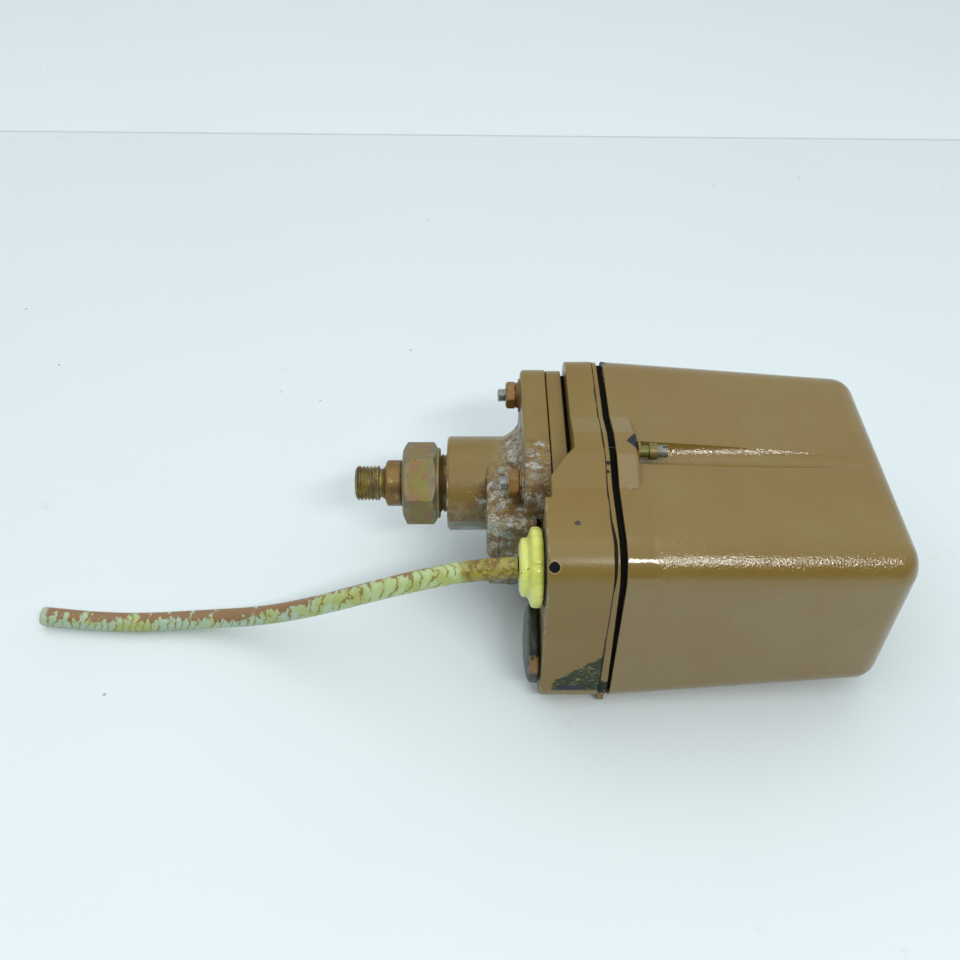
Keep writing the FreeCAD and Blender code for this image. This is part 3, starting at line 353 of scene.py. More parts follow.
def frame_chips(s, colour):
    """Damage on the sealing frame: a crack beside the base and chips beside the gap."""
    near_ridge = s.both(s.step(s.y, 22.0, 8.0), s.step(s.z, 62.0, 74.0))
    width = s.plus(s.math("MULTIPLY", s.noise(0.11, 3.0), 0.42), near_ridge, 0.8)
    crack = s.step(s.math("SUBTRACT", s.x, width), SEAM_X, SEAM_X - 0.15)
    colour = s.mix(s.both(crack, 0.96), colour, srgb(14, 12, 8))
    spots = [s.ball(centre, radius, 0.3, 0.5, 0.8) for centre, radius in FRAME_CHIPS]
    ragged = s.ragged(6.0, 0.55, 4.0)
    corner = s.both(s.step(s.math("ADD", s.z, ragged), 17.0, 16.0), s.step(s.y, 2.4, 1.6),
                    s.step(s.z, 7.6, 8.6))
    chips = s.either(*spots, corner)
    colour = s.mix(chips, colour, srgb(44, 50, 42))
    edge = s.both(s.step(s.noise(0.5, 4.0, 0.7), 0.55, 0.62), s.step(s.x, 42.0, 42.9), 0.55)
    colour = s.mix(edge, colour, srgb(150, 140, 112))
    return colour, s.either(chips, crack)


def cover_chips(s, colour):
    """Damage on the cover: an arrow-shaped chip on the lug and bare metal on the rim's back corner."""
    wide = s.math("MULTIPLY", s.math("SUBTRACT", s.x, LUG_CHIP_X), 1.25)
    edge = s.math("ADD", s.away(s.y, LUG_CHIP_Y), s.ragged(1.2, 0.9, 3.0))
    arrow = s.both(s.step(s.math("SUBTRACT", edge, wide), 0.15, -0.15),
                   s.step(s.x, 52.9, 52.5), s.step(s.z, 76.0, 76.4))
    rim = s.both(s.step(s.plus(s.x, s.noise(0.6, 3.0), -2.5), 45.2, 44.4), s.step(s.y, 96.0, 98.0),
                 s.step(s.z, 66.0, 69.0))
    worn = s.both(s.step(s.x, 46.1, 45.1), s.step(s.noise(0.45, 4.0, 0.7), 0.60, 0.66))
    bare = s.either(arrow, rim)
    colour = s.mix(worn, colour, srgb(112, 104, 88))
    colour = s.mix(bare, colour, srgb(46, 52, 58))
    return colour, bare


def chamber_paint():
    """Thin brown overspray on the casting, eaten by white corrosion; the underside stays bare, and its pale
    grey is partly a painted reflection of the white table.
    """
    s = Surface("chamber_worn_paint")
    drift = s.noise(0.09, 4.0, 0.6)
    colour = s.mix(s.step(drift, 0.4, 0.65), PAINT_DUSTY, PAINT)
    from_axis = s.math("SQRT", s.plus(s.math("POWER", s.math("SUBTRACT", s.y, AXIS_Y), 2.0),
                                      s.math("POWER", s.math("SUBTRACT", s.z, AXIS_Z), 2.0)))
    on_box = s.both(s.step(s.y, 57.0, 53.0), s.step(s.x, 22.0, 18.5))
    on_cove = s.both(s.step(from_axis, 16.8, 18.5), s.step(from_axis, 31.0, 26.0),
                     s.step(s.x, 16.8, 15.2), s.step(s.x, 3.0, 7.0))
    low_neck = s.both(s.step(s.z, 52.0, 44.0), 0.55)
    on_neck = s.either(s.both(s.step(s.x, -12.0, 4.0), s.step(s.y, 68.0, 57.0), 0.7), low_neck)
    neck_rim = s.both(s.step(s.x, -10.9, -11.7), 0.8)
    flange_rim = s.both(s.step(s.x, 15.7, 14.3), s.step(s.y, 66.0, 46.0), 0.8)
    weight = s.either(s.both(on_box, 0.62), s.both(on_cove, 0.72), on_neck, neck_rim, flange_rim, 0.05)
    spots = s.plus(s.noise(1.15, 5.0, 0.75), s.noise(0.22, 3.0), 0.75)
    eaten = s.step(s.plus(spots, weight, 0.42), 1.17, 1.25)
    streaks = s.noise(0.5, 4.0, 0.7, 0.4, s.stretched(1.0, 1.0, 0.22))
    cast = s.either(on_box, on_cove)
    streaked = s.both(cast, s.step(streaks, 0.53, 0.63))
    grey = s.both(s.step(s.plus(s.noise(0.17, 4.0, 0.6), weight, 0.22), 0.68, 0.76), cast)
    colour = s.mix(grey, colour, CASTING)
    brushed = s.noise(0.6, 5.0, 0.75, 0.8, s.stretched(0.35, 1.0, 1.0))
    haze = s.both(on_cove, s.step(brushed, 0.40, 0.62), 0.75)
    colour = s.mix(haze, colour, srgb(176, 172, 152))
    colour = s.mix(s.both(streaked, 0.5), colour, srgb(166, 170, 156))
    colour = s.mix(s.both(eaten, 0.7), colour, CORROSION)
    brown = s.both(s.step(s.noise(0.3, 5.0, 0.7), 0.47, 0.56), s.step(weight, 0.3, 0.6), 0.85)
    colour = s.mix(brown, colour, srgb(118, 84, 40))
    # underside: bare metal, painted pale grey as a reflection of the white table as well
    down = s.math("ADD", s.facing[2], s.ragged(0.06, 0.5, 3.0))
    under = s.both(s.step(down, -0.12, -0.17), s.step(s.x, 4.0, 3.0))
    bare_underside_with_table_reflection = s.mix(s.step(drift, 0.4, 0.6), srgb(176, 182, 172), srgb(140, 142, 126))
    colour = s.mix(under, colour, bare_underside_with_table_reflection)
    height = s.plus(s.noise(1.3, 4.0, 0.7), s.math("MULTIPLY", eaten, 0.8))
    normal = s.bump(height, 0.12, normal=s.rounded(0.8))
    rough = s.plus(0.30, s.either(eaten, grey, under), 0.35)
    return s.finish(Base_Color=colour, Roughness=rough, Normal=normal)


def stained_zinc(name, overspray, middle=None):
    """Passivated zinc gone dull grey-brown, with some brown overspray.  middle is the station about
    which a nut's flats keep a yellow and tan stain; without it the nipple's collar is brown."""
    s = Surface(name)
    patch = s.noise(0.16, 4.0, 0.6)
    stain = s.noise(0.45, 4.0, 0.65, 0.6)
    colour = s.mix(s.step(patch, 0.40, 0.60), ZINC_YELLOW, ZINC_PURPLE)
    colour = s.mix(s.both(s.step(stain, 0.48, 0.62), 0.7), colour, ZINC_OLIVE)
    if middle is None:
        shine = 0.75
        collar = s.both(s.step(s.x, -36.6, -35.6), s.step(s.noise(0.25, 4.0, 0.6), 0.36, 0.48))
        colour = s.mix(s.both(collar, 0.85), colour, srgb(130, 96, 56))
    else:
        shine = 0.4
        colour = s.mix(0.65, colour, srgb(116, 106, 84))
        off = s.plus(s.away(s.x, middle), s.centred(0.3, 4.0, 0.65), 7.0)
        near = s.both(s.step(off, 4.3, 2.8), s.step(s.noise(0.09, 2.0), 0.40, 0.50))
        inner = s.mix(s.step(s.noise(0.28, 3.0), 0.45, 0.56), srgb(128, 120, 52), srgb(140, 104, 68))
        colour = s.mix(s.both(near, 0.85), colour, inner)
    dark = s.both(s.step(s.noise(0.8, 4.0, 0.7), 0.60, 0.68), 0.6)
    colour = s.mix(dark, colour, srgb(74, 60, 40))
    spray = s.both(s.step(s.noise(0.33, 4.0, 0.7), 0.60 - overspray, 0.68 - overspray), 0.85)
    colour = s.mix(spray, colour, srgb(128, 92, 50))
    rough = s.plus(s.plus(0.34, stain, 0.2), spray, 0.15)
    metal = s.math("SUBTRACT", shine, s.math("MULTIPLY", spray, shine * 0.9))
    normal = s.bump(s.noise(1.4, 4.0, 0.7), 0.05, normal=s.rounded(0.35))
    return s.finish(Base_Color=colour, Roughness=rough, Metallic=metal, Normal=normal)


def nut_paint():
    """Brown paint on plated nuts, worn through to yellow along the corners."""
    s = Surface("nut_paint")
    wear = s.noise(0.8, 4.0, 0.7)
    colour = s.mix(s.step(wear, 0.55, 0.66), srgb(132, 96, 42), srgb(150, 128, 66))
    colour = s.mix(s.step(s.facing[0], -0.55, -0.8), colour, srgb(142, 128, 92))
    dirt = s.step(s.noise(0.5, 3.0), 0.56, 0.64)
    colour = s.mix(s.both(dirt, 0.6), colour, srgb(74, 54, 30))
    normal = s.bump(s.noise(1.6, 3.0, 0.6), 0.05, normal=s.rounded(0.3))
    return s.finish(Base_Color=colour, Roughness=s.plus(0.28, wear, 0.2), Metallic=0.25, Normal=normal)


def bright_metal(name, colour, rough=0.3, grain=(0.1, 1.0, 1.0)):
    """Plated or turned metal with fine marks, smudges and a little tarnish."""
    s = Surface(name)
    mark = s.noise(1.8, 3.0, 0.6, 0.0, s.stretched(*grain))
    smudge = s.noise(0.14, 4.0, 0.6)
    dark = tuple(c * 0.45 for c in colour)
    shade = s.mix(s.both(s.step(smudge, 0.48, 0.68), 0.35), colour, dark)
    shade = s.mix(s.both(s.step(mark, 0.6, 0.7), 0.3), shade, tuple(min(1.0, c * 1.35) for c in colour))
    spread = s.plus(s.plus(rough - 0.08, mark, 0.12), smudge, 0.1)
    normal = s.bump(mark, 0.02, normal=s.rounded(0.25))
    return s.finish(Base_Color=shade, Roughness=spread, Metallic=0.92, Normal=normal)


def moulded(name, colour, rough=0.35, sheen_dust=0.2, scatter=0.0, level=0.5):
    """Moulded plastic or rubber with a faint texture, dust and rubbed patches."""
    s = Surface(name)
    dust = s.noise(0.3, 5.0, 0.7)
    shade = s.mix(s.both(s.step(dust, 0.5, 0.7), sheen_dust), colour, srgb(150, 142, 124))
    rub = s.noise(0.12, 3.0)
    shade = s.mix(s.both(s.step(rub, 0.5, 0.65), 0.3), shade, tuple(c * 0.6 for c in colour))
    normal = s.bump(s.noise(2.2, 3.0, 0.6), 0.02, normal=s.rounded(0.25))
    return s.finish(Base_Color=shade, Roughness=s.plus(rough - 0.05, dust, 0.15), Normal=normal,
                    Specular_IOR_Level=level, Subsurface_Weight=scatter, Subsurface_Scale=0.002)


def gland_plastic():
    """Glossy yellow-green plastic with small dark pits and rubbed notch edges."""
    s = Surface("gland_plastic")
    tone = s.noise(0.12, 3.0)
    colour = s.mix(s.step(tone, 0.35, 0.65), srgb(220, 226, 116), srgb(208, 214, 98))
    pale = s.step(s.x, 14.6, 13.2)
    colour = s.mix(s.both(pale, 0.5), colour, srgb(228, 234, 140))
    pits = s.both(s.step(s.cells(0.42), 0.17, 0.12), s.step(s.noise(0.2, 2.0), 0.54, 0.58))
    colour = s.mix(s.both(pits, 0.8), colour, srgb(110, 84, 36))
    smear = s.both(s.step(s.noise(0.4, 4.0, 0.7), 0.60, 0.68), 0.3)
    colour = s.mix(smear, colour, srgb(178, 176, 72))
    normal = s.bump(s.noise(0.5, 3.0, 0.5), 0.10, normal=s.rounded(0.3))
    return s.finish(Base_Color=colour, Roughness=s.plus(0.16, tone, 0.14), Normal=normal,
                    Subsurface_Weight=0.25, Subsurface_Scale=0.004, Coat_Weight=0.3, Coat_Roughness=0.12)


def plug_plastic():
    """Dark plug, sprayed brown once; the paint has mostly come off its face, and its side is painted darker
    as shade.
    """
    s = Surface("plug_plastic")
    tone = s.noise(0.22, 4.0)
    colour = s.mix(s.step(tone, 0.35, 0.65), srgb(66, 80, 68), srgb(44, 50, 44))
    # painted shade: the plug's side, past station 17.4, darker than its lit face
    rim = s.step(s.x, 16.6, 17.4)
    colour = s.mix(s.both(rim, 0.75), colour, srgb(28, 30, 26))
    ragged = s.ragged(7.0, 0.5, 4.0, 0.7)
    level = s.math("ADD", s.z, ragged)
    low = s.both(s.step(level, 26.0, 25.0), s.step(level, 19.0, 20.0),
                 s.step(s.y, 7.5, 6.5), s.step(s.plus(s.x, ragged, 0.35), 16.3, 16.7))
    colour = s.mix(low, colour, srgb(132, 100, 58))
    smear = s.both(s.step(s.x, 16.4, 15.8), low, 0.7)
    colour = s.mix(smear, colour, srgb(160, 138, 104))
    height = s.plus(s.noise(1.2, 3.0), low, 0.8)
    normal = s.bump(height, 0.06, normal=s.rounded(0.3))
    return s.finish(Base_Color=colour, Roughness=s.plus(0.3, tone, 0.2), Normal=normal)


def cable_sheath():
    """Pale green sheath with slanted cuts full of old paint, and brown overspray that is flaking off."""
    s = Surface("cable_sheath")
    toward_gland = s.step(s.x, -75.0, -30.0)
    tone = s.noise(0.10, 3.0, 0.6)
    mint = s.mix(toward_gland, srgb(170, 198, 176), srgb(184, 206, 152))
    colour = s.mix(s.both(s.step(tone, 0.46, 0.62), 0.8), mint, srgb(172, 182, 96))
    # slanted cuts every two or three millimetres, some missing
    lean = s.add("ShaderNodeVectorMath", {0: s.place, 1: (1.0, 0.35, -0.5)}, output=1,
                 operation="DOT_PRODUCT")
    lean = s.plus(lean, s.centred(0.12, 3.0, 0.6), 7.0)
    lean = s.plus(lean, s.noise(0.6, 1.0), 0.6)
    across = s.repeated(lean, 1.35)
    some = s.step(s.noise(0.22, 2.0, 0.5, 0.0, s.stretched(1.0, 0.6, 0.6)), 0.40, 0.46)
    cuts = s.both(s.step(across, 0.28, 0.14), some)
    halo = s.both(s.step(across, 1.0, 0.3), some, 0.4)
    colour = s.mix(halo, colour, srgb(180, 186, 92))
    colour = s.mix(s.both(cuts, 0.85), colour, srgb(132, 112, 54))
    # overspray: the back of the cable near the gland, most of it towards the cut end
    fray = s.centred(0.42, 4.0, 0.65, 0.0, s.stretched(1.0, 0.45, 0.45))
    level = s.plus(s.math("MULTIPLY", s.facing[2], 0.45), s.facing[1], 0.55)
    level = s.plus(level, s.step(s.x, -40.0, -100.0), 0.42)
    level = s.plus(level, fray, 1.9)
    level = s.plus(level, s.both(s.step(s.x, -50.0, -75.0), s.step(s.x, -112.0, -92.0)), 0.28)
    spray = s.both(s.step(level, 0.50, 0.55), s.step(s.x, -9.0, -22.0))
    flaked = s.step(s.noise(0.26, 3.0, 0.6, 0.0, s.stretched(1.0, 0.6, 0.6)), 0.58, 0.61)
    spray = s.both(spray, s.invert(flaked))
    colour = s.mix(spray, colour, s.mix(s.noise(0.25, 3.0), srgb(134, 100, 62), srgb(150, 118, 82)))
    # grime and yellow blots at the gland
    at_gland = s.step(s.plus(s.x, fray, 7.0), -8.0, -3.5)
    colour = s.mix(s.both(at_gland, 0.9), colour, srgb(150, 138, 50))
    grime = s.both(at_gland, s.step(s.noise(0.38, 4.0, 0.7), 0.42, 0.58), 0.92)
    colour = s.mix(grime, colour, srgb(112, 86, 30))
    blot = s.both(s.step(s.x, -11.0, -6.0), s.step(s.noise(0.75, 3.0), 0.58, 0.66))
    colour = s.mix(blot, colour, srgb(178, 168, 52))
    cut_end = s.step(s.x, -161.5, -163.0)
    colour = s.mix(s.both(cut_end, 0.7), colour, srgb(186, 204, 178))
    masks = s.either(spray, cuts, grime)
    normal = s.bump(s.plus(s.noise(0.7, 3.0), masks, 0.7), 0.05)
    return s.finish(Base_Color=colour, Roughness=s.plus(0.26, masks, 0.2), Normal=normal,
                    Subsurface_Weight=0.1, Subsurface_Scale=0.003)


def cover_screw_metal():
    """Captive screw: green-yellow shank, brass collar and grey head; the end below station 50 is painted near
    black as shade.
    """
    s = Surface("cover_screw_metal")
    wear = s.noise(0.9, 4.0, 0.6)
    colour = s.mix(s.step(s.x, 55.9, 56.2), srgb(112, 118, 62), srgb(132, 112, 66))
    colour = s.mix(s.step(s.x, 58.6, 58.9), colour, srgb(132, 134, 122))
    colour = s.mix(s.both(s.step(wear, 0.5, 0.62), 0.5), colour, srgb(104, 82, 48))
    # painted shade: the screw's end below station 50, in the cover's pocket, near black
    colour = s.mix(s.step(s.x, 51.0, 50.0), colour, srgb(20, 18, 12))
    normal = s.bump(wear, 0.05, normal=s.rounded(0.25))
    return s.finish(Base_Color=colour, Roughness=s.plus(0.35, wear, 0.2), Metallic=0.4, Normal=normal)


def scale_aluminium():
    """Satin plate with plain division lines every 2 mm and a longer one every 10 mm."""
    s = Surface("scale_aluminium")
    reach = s.math("SUBTRACT", s.x, SCALE_START)
    fine = s.step(s.repeated(reach, 1.0), 0.16, 0.12)
    coarse = s.step(s.repeated(reach, 5.0), 0.26, 0.22)
    lines = s.either(s.both(fine, s.step(s.y, 81.8, 81.7)), s.both(coarse, s.step(s.y, 83.0, 82.9)))
    lines = s.both(lines, s.step(s.x, 70.5, 70.6), s.step(s.x, 101.6, 101.5))
    brushed = s.noise(1.6, 3.0, 0.6, 0.0, s.stretched(0.08, 1.0, 1.0))
    colour = s.mix(lines, s.mix(brushed, srgb(196, 196, 190), srgb(172, 172, 168)), srgb(26, 26, 26))
    normal = s.bump(brushed, 0.01, normal=s.rounded(0.2))
    return s.finish(Base_Color=colour, Roughness=0.38, Metallic=0.8, Normal=normal)


def ground_sheet(name, colour, rough):
    """Pale table top with faint stains and a few specks."""
    s = Surface(name)
    cloud = s.noise(0.008, 4.0, 0.55)
    shade = s.mix(s.both(s.step(cloud, 0.4, 0.75), 0.5), colour, tuple(c * 0.97 for c in colour))
    stain = s.both(s.step(s.noise(0.045, 5.0, 0.65), 0.66, 0.74), 0.25)
    shade = s.mix(stain, shade, srgb(206, 214, 200))
    speck = s.both(s.step(s.cells(0.045), 0.033, 0.022), s.step(s.noise(0.02, 2.0), 0.52, 0.56), 0.75)
    shade = s.mix(speck, shade, srgb(150, 148, 128))
    return s.finish(Base_Color=shade, Roughness=rough, Specular_IOR_Level=0.35)


# ---------------------------------------------------------------- turned pieces
def smooth_min(a, b, width):
    """The smaller of two numbers, blended where they are within the width of each other."""
    share = max(0.0, min(1.0, 0.5 + (b - a) / (2 * width)))
    return b * (1 - share) + a * share - width * share * (1 - share)


def hexagonal(flats, turn_deg, rounding=0.35):
    """Limit the radius to a hexagon with rounded corners."""
    turn = math.radians(turn_deg)

    def shape(x, radius, angle):
        from_flat = (angle - turn + math.pi / 6) % (math.pi / 3) - math.pi / 6
        return smooth_min(radius, flats / 2 / math.cos(from_flat), rounding)
    return shape


def threaded(crest, pitch, depth, start, end):
    """Sink a helical groove between two stations wherever the radius is the crest's."""
    def shape(x, radius, angle):
        if x < start or x > end or abs(radius - crest) > 0.02:
            return radius
        turn = ((x - start) / pitch - angle / (2 * math.pi)) % 1.0
        groove = max(0.0, 1.0 - abs(2 * turn - 1) * 1.12)
        fade = min(1.0, (x - start) / pitch + 0.15, (end - x) / pitch + 0.05)
        return radius - depth * groove * fade
    return shape


def notched(count, depth, width, start, end):
    """Shallow grip notches round a rim, between two stations."""
    def shape(x, radius, angle):
        if x < start or x > end:
            return radius
        pitch = 2 * math.pi / count
        off = ((angle + pitch / 2) % pitch - pitch / 2) * radius
        return radius - depth * math.exp(-(off / width) ** 2)
    return shape


def rounded_outline(points, radius, steps=4):
    """Round each corner of an open (x, radius) outline with a small arc-like curve."""
    result = [points[0]]
    for before, corner, after in zip(points, points[1:], points[2:]):
        corner_v = Vector(corner)
        back = Vector(before) - corner_v
        ahead = Vector(after) - corner_v
        reach = min(radius, back.length * 0.45, ahead.length * 0.45)
        start = corner_v + back.normalized() * reach
        end = corner_v + ahead.normalized() * reach
        for index in range(steps + 1):
            t = index / steps
            result.append(tuple(start * (1 - t) ** 2 + corner_v * 2 * t * (1 - t) + end * t ** 2))
    result.append(points[-1])
    return result


def divided(points, step, start, end):
    """Add stations to the long runs of an outline between start and end."""
    result = [points[0]]
    for (x0, r0), (x1, r1) in zip(points, points[1:]):
        inside = min(x0, x1) >= start - 0.01 and max(x0, x1) <= end + 0.01
        count = max(1, math.ceil(abs(x1 - x0) / step)) if inside else 1
        for index in range(1, count + 1):
            share = index / count
            result.append((x0 + (x1 - x0) * share, r0 + (r1 - r0) * share))
    return result


def bridge(mesh, one, two):
    """Quads between two closed loops of as many vertices."""
    for index in range(len(one)):
        after = (index + 1) % len(one)
        mesh.faces.new((one[index], one[after], two[after], two[index]))


def turn_into(mesh, outline, y, z, segments, shape=None, closed=False):
    """Turn an (x, radius) outline about an axis along X and add it to a bmesh."""
    rings = []
    for x, radius in outline:
        if radius < 0.001:
            rings.append([mesh.verts.new(at(x, y, z))])
            continue
        ring = []
        for index in range(segments):
            angle = 2 * math.pi * index / segments
            reach = shape(x, radius, angle) if shape else radius
            ring.append(mesh.verts.new(at(x, y + reach * math.cos(angle), z + reach * math.sin(angle))))
        rings.append(ring)
    pairs = list(zip(rings, rings[1:]))
    if closed:
        pairs.append((rings[-1], rings[0]))
    for one, two in pairs:
        if len(one) == len(two):
            bridge(mesh, one, two)
            continue
        for index in range(segments):
            after = (index + 1) % segments
            if len(one) == 1:
                mesh.faces.new((one[0], two[after], two[index]))
            else:
                mesh.faces.new((one[index], one[after], two[0]))


def add_piece(name, mesh, body, material, nodes=(), sharp_deg=38.0):
    """Turn a bmesh into a piece that rides on a body and stands for CAD nodes."""
    bmesh.ops.recalc_face_normals(mesh, faces=mesh.faces)
    data = bpy.data.meshes.new(name)
    mesh.to_mesh(data)
    mesh.free()
    data.shade_smooth()
    data.set_sharp_from_angle(angle=math.radians(sharp_deg))
    piece = bpy.data.objects.new(name, data)
    data.materials.append(material)
    bpy.context.scene.collection.objects.link(piece)
    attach(piece, body)
    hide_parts(*nodes)
    return piece


def add_nipple(material):
    crest, start, end = 6.5785, -46.5, -37.8
    pitch, depth = 1.337, 0.86
    points = [(start, 3.0), (start, crest - 0.9), (start + 0.9, crest), (end, crest), (end + 0.5, 5.35),
              (-36.6, 5.45), (-35.5, 6.4), (-34.9, 8.2), (-34.4, 8.65), (-29.6, 8.65), (-28.9, 8.3),
              (-26.3, 8.3), (-26.3, 3.0)]
    outline = divided(rounded_outline(points, 0.25), 0.17, start, end)
    mesh = bmesh.new()
    turn_into(mesh, outline, AXIS_Y, AXIS_Z, 72, threaded(crest, pitch, depth, start, end), closed=True)
    add_piece("connection_nipple_threaded", mesh, "base", material,
              ["connection_nipple"], 55)


def add_stud_fitting(material):
    crest, start, end = 10.9, -24.6, -12.2
    pitch, depth = 1.5, 0.9
    points = [(-26.0, 4.0), (-26.0, 8.6), (start, crest), (end, crest), (0.4, crest), (0.4, 4.0)]
    outline = divided(rounded_outline(points, 0.2), 0.19, start, end)
    mesh = bmesh.new()
    turn_into(mesh, outline, AXIS_Y, AXIS_Z, 72, threaded(crest, pitch, depth, start, end), closed=True)
    add_piece("stud_fitting_threaded", mesh, "base", material, ["stud_fitting"], 55)


def add_union_nut(material):
    face, crest, start, end = 12.7, 15.75, -28.6, -16.0
    flats, turn_deg = 27.0, 10.0
    points = [(start, 8.36), (start, face), (start + 1.5, crest), (-17.35, crest), (-16.2, 13.9),
              (end, 13.25), (-14.9, 13.25), (-14.9, 10.96), (-26.3, 10.96), (-26.3, 8.36)]
    outline = divided(rounded_outline(points, 0.5, 5), 1.0, start, end)
    mesh = bmesh.new()
    turn_into(mesh, outline, AXIS_Y, AXIS_Z, 144, hexagonal(flats, turn_deg, 0.5), closed=True)
    add_piece("union_nut_body", mesh, "union_nut", material, ["union_nut"], 40)


def add_flange_hardware(nut_material, stud_material):
    places = [(AXIS_Y + side * STUD_HALF_PITCH, AXIS_Z + level * STUD_HALF_PITCH)
              for side in (-1, 1) for level in (-1, 1)]
    nut_flats, nut_turns = 9.0, (8.0, 21.0, 34.0, 12.0)
    crest, start, end = 2.5, 6.6, 10.2
    pitch, depth = 0.8, 0.45
    nuts = bmesh.new()
    studs = bmesh.new()
    for (y, z), turn in zip(places, nut_turns):
        points = [(9.6, 2.54), (9.6, 4.2), (10.3, 5.15), (12.8, 5.15), (13.5, 4.3), (13.5, 2.54)]
        turn_into(nuts, rounded_outline(points, 0.25), y, z, 96, hexagonal(nut_flats, turn, 0.2), closed=True)
        points = [(start, 0.0), (start, 1.9), (start + 0.6, crest), (end, crest), (37.4, crest), (37.4, 0.0)]
        outline = divided(rounded_outline(points, 0.12), 0.1, start, end)
        turn_into(studs, outline, y, z, 48, threaded(crest, pitch, depth, start + 0.3, end))
    add_piece("flange_nuts_rounded", nuts, "base", nut_material, ["flange_nuts"], 40)
    add_piece("flange_studs_threaded", studs, "base", stud_material, ["flange_studs"], 55)


def add_gland_nut(material):
    hub, rim = 9.65, 13.1
    start, end = 15.6, 20.0
    points = [(12.4, 3.6), (12.4, hub - 2.2), (13.0, hub - 0.5), (14.0, hub), (15.1, hub - 0.1),
              (start, 11.0), (16.3, rim - 0.3), (17.4, rim), (18.8, rim - 0.1), (19.7, rim - 0.7),
              (end, rim - 1.4), (end, 8.06), (15.4, 8.06), (15.4, 3.6)]
    outline = divided(rounded_outline(points, 0.7, 5), 0.35, start, end)
    grip = notched(count=14, depth=0.4, width=0.7, start=start + 0.3, end=end)
    mesh = bmesh.new()
    turn_into(mesh, outline, ENTRY_Y, GLAND_Z, 168, grip, closed=True)
    add_piece("gland_nut_moulded", mesh, "gland_nut", material, ["gland_nut"], 50)


def add_blanking_plug(material):
    rim = 13.6
    points = [(14.9, 0.0), (15.05, 4.0), (15.4, 8.0), (15.9, 11.0), (16.4, 12.6), (16.9, 13.3),
              (17.5, rim), (19.2, rim), (19.9, rim - 0.5), (19.9, 8.0), (27.0, 8.0), (27.0, 0.0)]
    mesh = bmesh.new()
    turn_into(mesh, rounded_outline(points, 0.6, 4), ENTRY_Y, PLUG_Z, 96)
    add_piece("blanking_plug_domed", mesh, "blanking_plug", material, ["blanking_plug"], 40)


def add_cable(material):
    curve = bpy.data.curves.new("cable_curve", "CURVE")
    curve.dimensions = "3D"
    curve.resolution_u = 24
    curve.bevel_depth = CABLE_RADIUS * MM
    curve.bevel_resolution = 10
    curve.use_fill_caps = True
    spline = curve.splines.new("NURBS")
    spline.points.add(len(CABLE_ROUTE) - 1)
    for point, place in zip(spline.points, CABLE_ROUTE):
        point.co = (*at(*place), 1.0)
    spline.order_u = 3
    spline.use_endpoint_u = True
    cable = bpy.data.objects.new("cable_sheathed", curve)
    curve.materials.append(material)
    bpy.context.scene.collection.objects.link(cable)
    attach(cable, "base")
    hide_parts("cable")
    return cable


def add_cable_end(copper, insulation):
    """The cut end: three cores with their copper strands, standing slightly proud of the sheath."""
    tip = Vector(CABLE_ROUTE[-1])
    along = (tip - Vector(CABLE_ROUTE[-2])).normalized()
    side = along.cross(Vector((0, 0, 1))).normalized()
    up = side.cross(along)
    cores, corners = 3, 20
    made = []
    for name, radius, reach, material, slot in (
            ("cable_end_cores", 1.15, 0.5, insulation, "core_insulation"),
            ("cable_end_strands", 0.6, 0.85, copper, "brass")):
        mesh = bmesh.new()
        for index in range(cores):
            turn = math.radians(90 + 360 / cores * index)
            centre = tip + side * (CORE_RING * math.cos(turn)) + up * (CORE_RING * math.sin(turn))
            rings = []
            for push, size in ((-0.6, radius), (reach - 0.1, radius), (reach, radius - 0.12)):
                loop = []
                for corner in range(corners):
                    angle = 2 * math.pi * corner / corners
                    outward = side * (size * math.cos(angle)) + up * (size * math.sin(angle))
                    loop.append(mesh.verts.new(at(*(centre + along * push + outward))))
                rings.append(loop)
            for one, two in zip(rings, rings[1:]):
                bridge(mesh, one, two)
            mesh.faces.new(rings[0])
            mesh.faces.new(rings[-1])
        made.append(add_piece(name, mesh, "base", material))
    return made


def add_spring(node, mean_radius, wire_radius, turns, material):
    """A coil spring with closed ends in the place of its CAD node."""
    low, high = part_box(node)
    length = high[0] - low[0]
    centre = (Vector(low) + Vector(high)) / 2
    mean, wire = mean_radius * MM, wire_radius * MM
    steps, corners = 40, 12
    mesh = bmesh.new()
    rings = []
    for index in range(turns * steps + 1):
        share = index / (turns * steps)
        eased = min(max((share * turns - 0.75) / (turns - 1.5), 0.0), 1.0)
        along = wire + (length - 2 * wire) * eased
        angle = 2 * math.pi * turns * share
        outward = Vector((0.0, math.cos(angle), math.sin(angle)))
        hub = Vector((low[0] + along, centre.y, centre.z)) + outward * mean
        ring = []
        for corner in range(corners):
            turn = 2 * math.pi * corner / corners
            offset = outward * math.cos(turn) + Vector((1.0, 0.0, 0.0)) * math.sin(turn)
            ring.append(mesh.verts.new(hub + offset * wire))
        rings.append(ring)
    for one, two in zip(rings, rings[1:]):
        bridge(mesh, one, two)
    mesh.faces.new(rings[0])
    mesh.faces.new(rings[-1])
    piece = add_piece(node + "_wound", mesh, "base", material, [node])
    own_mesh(piece)


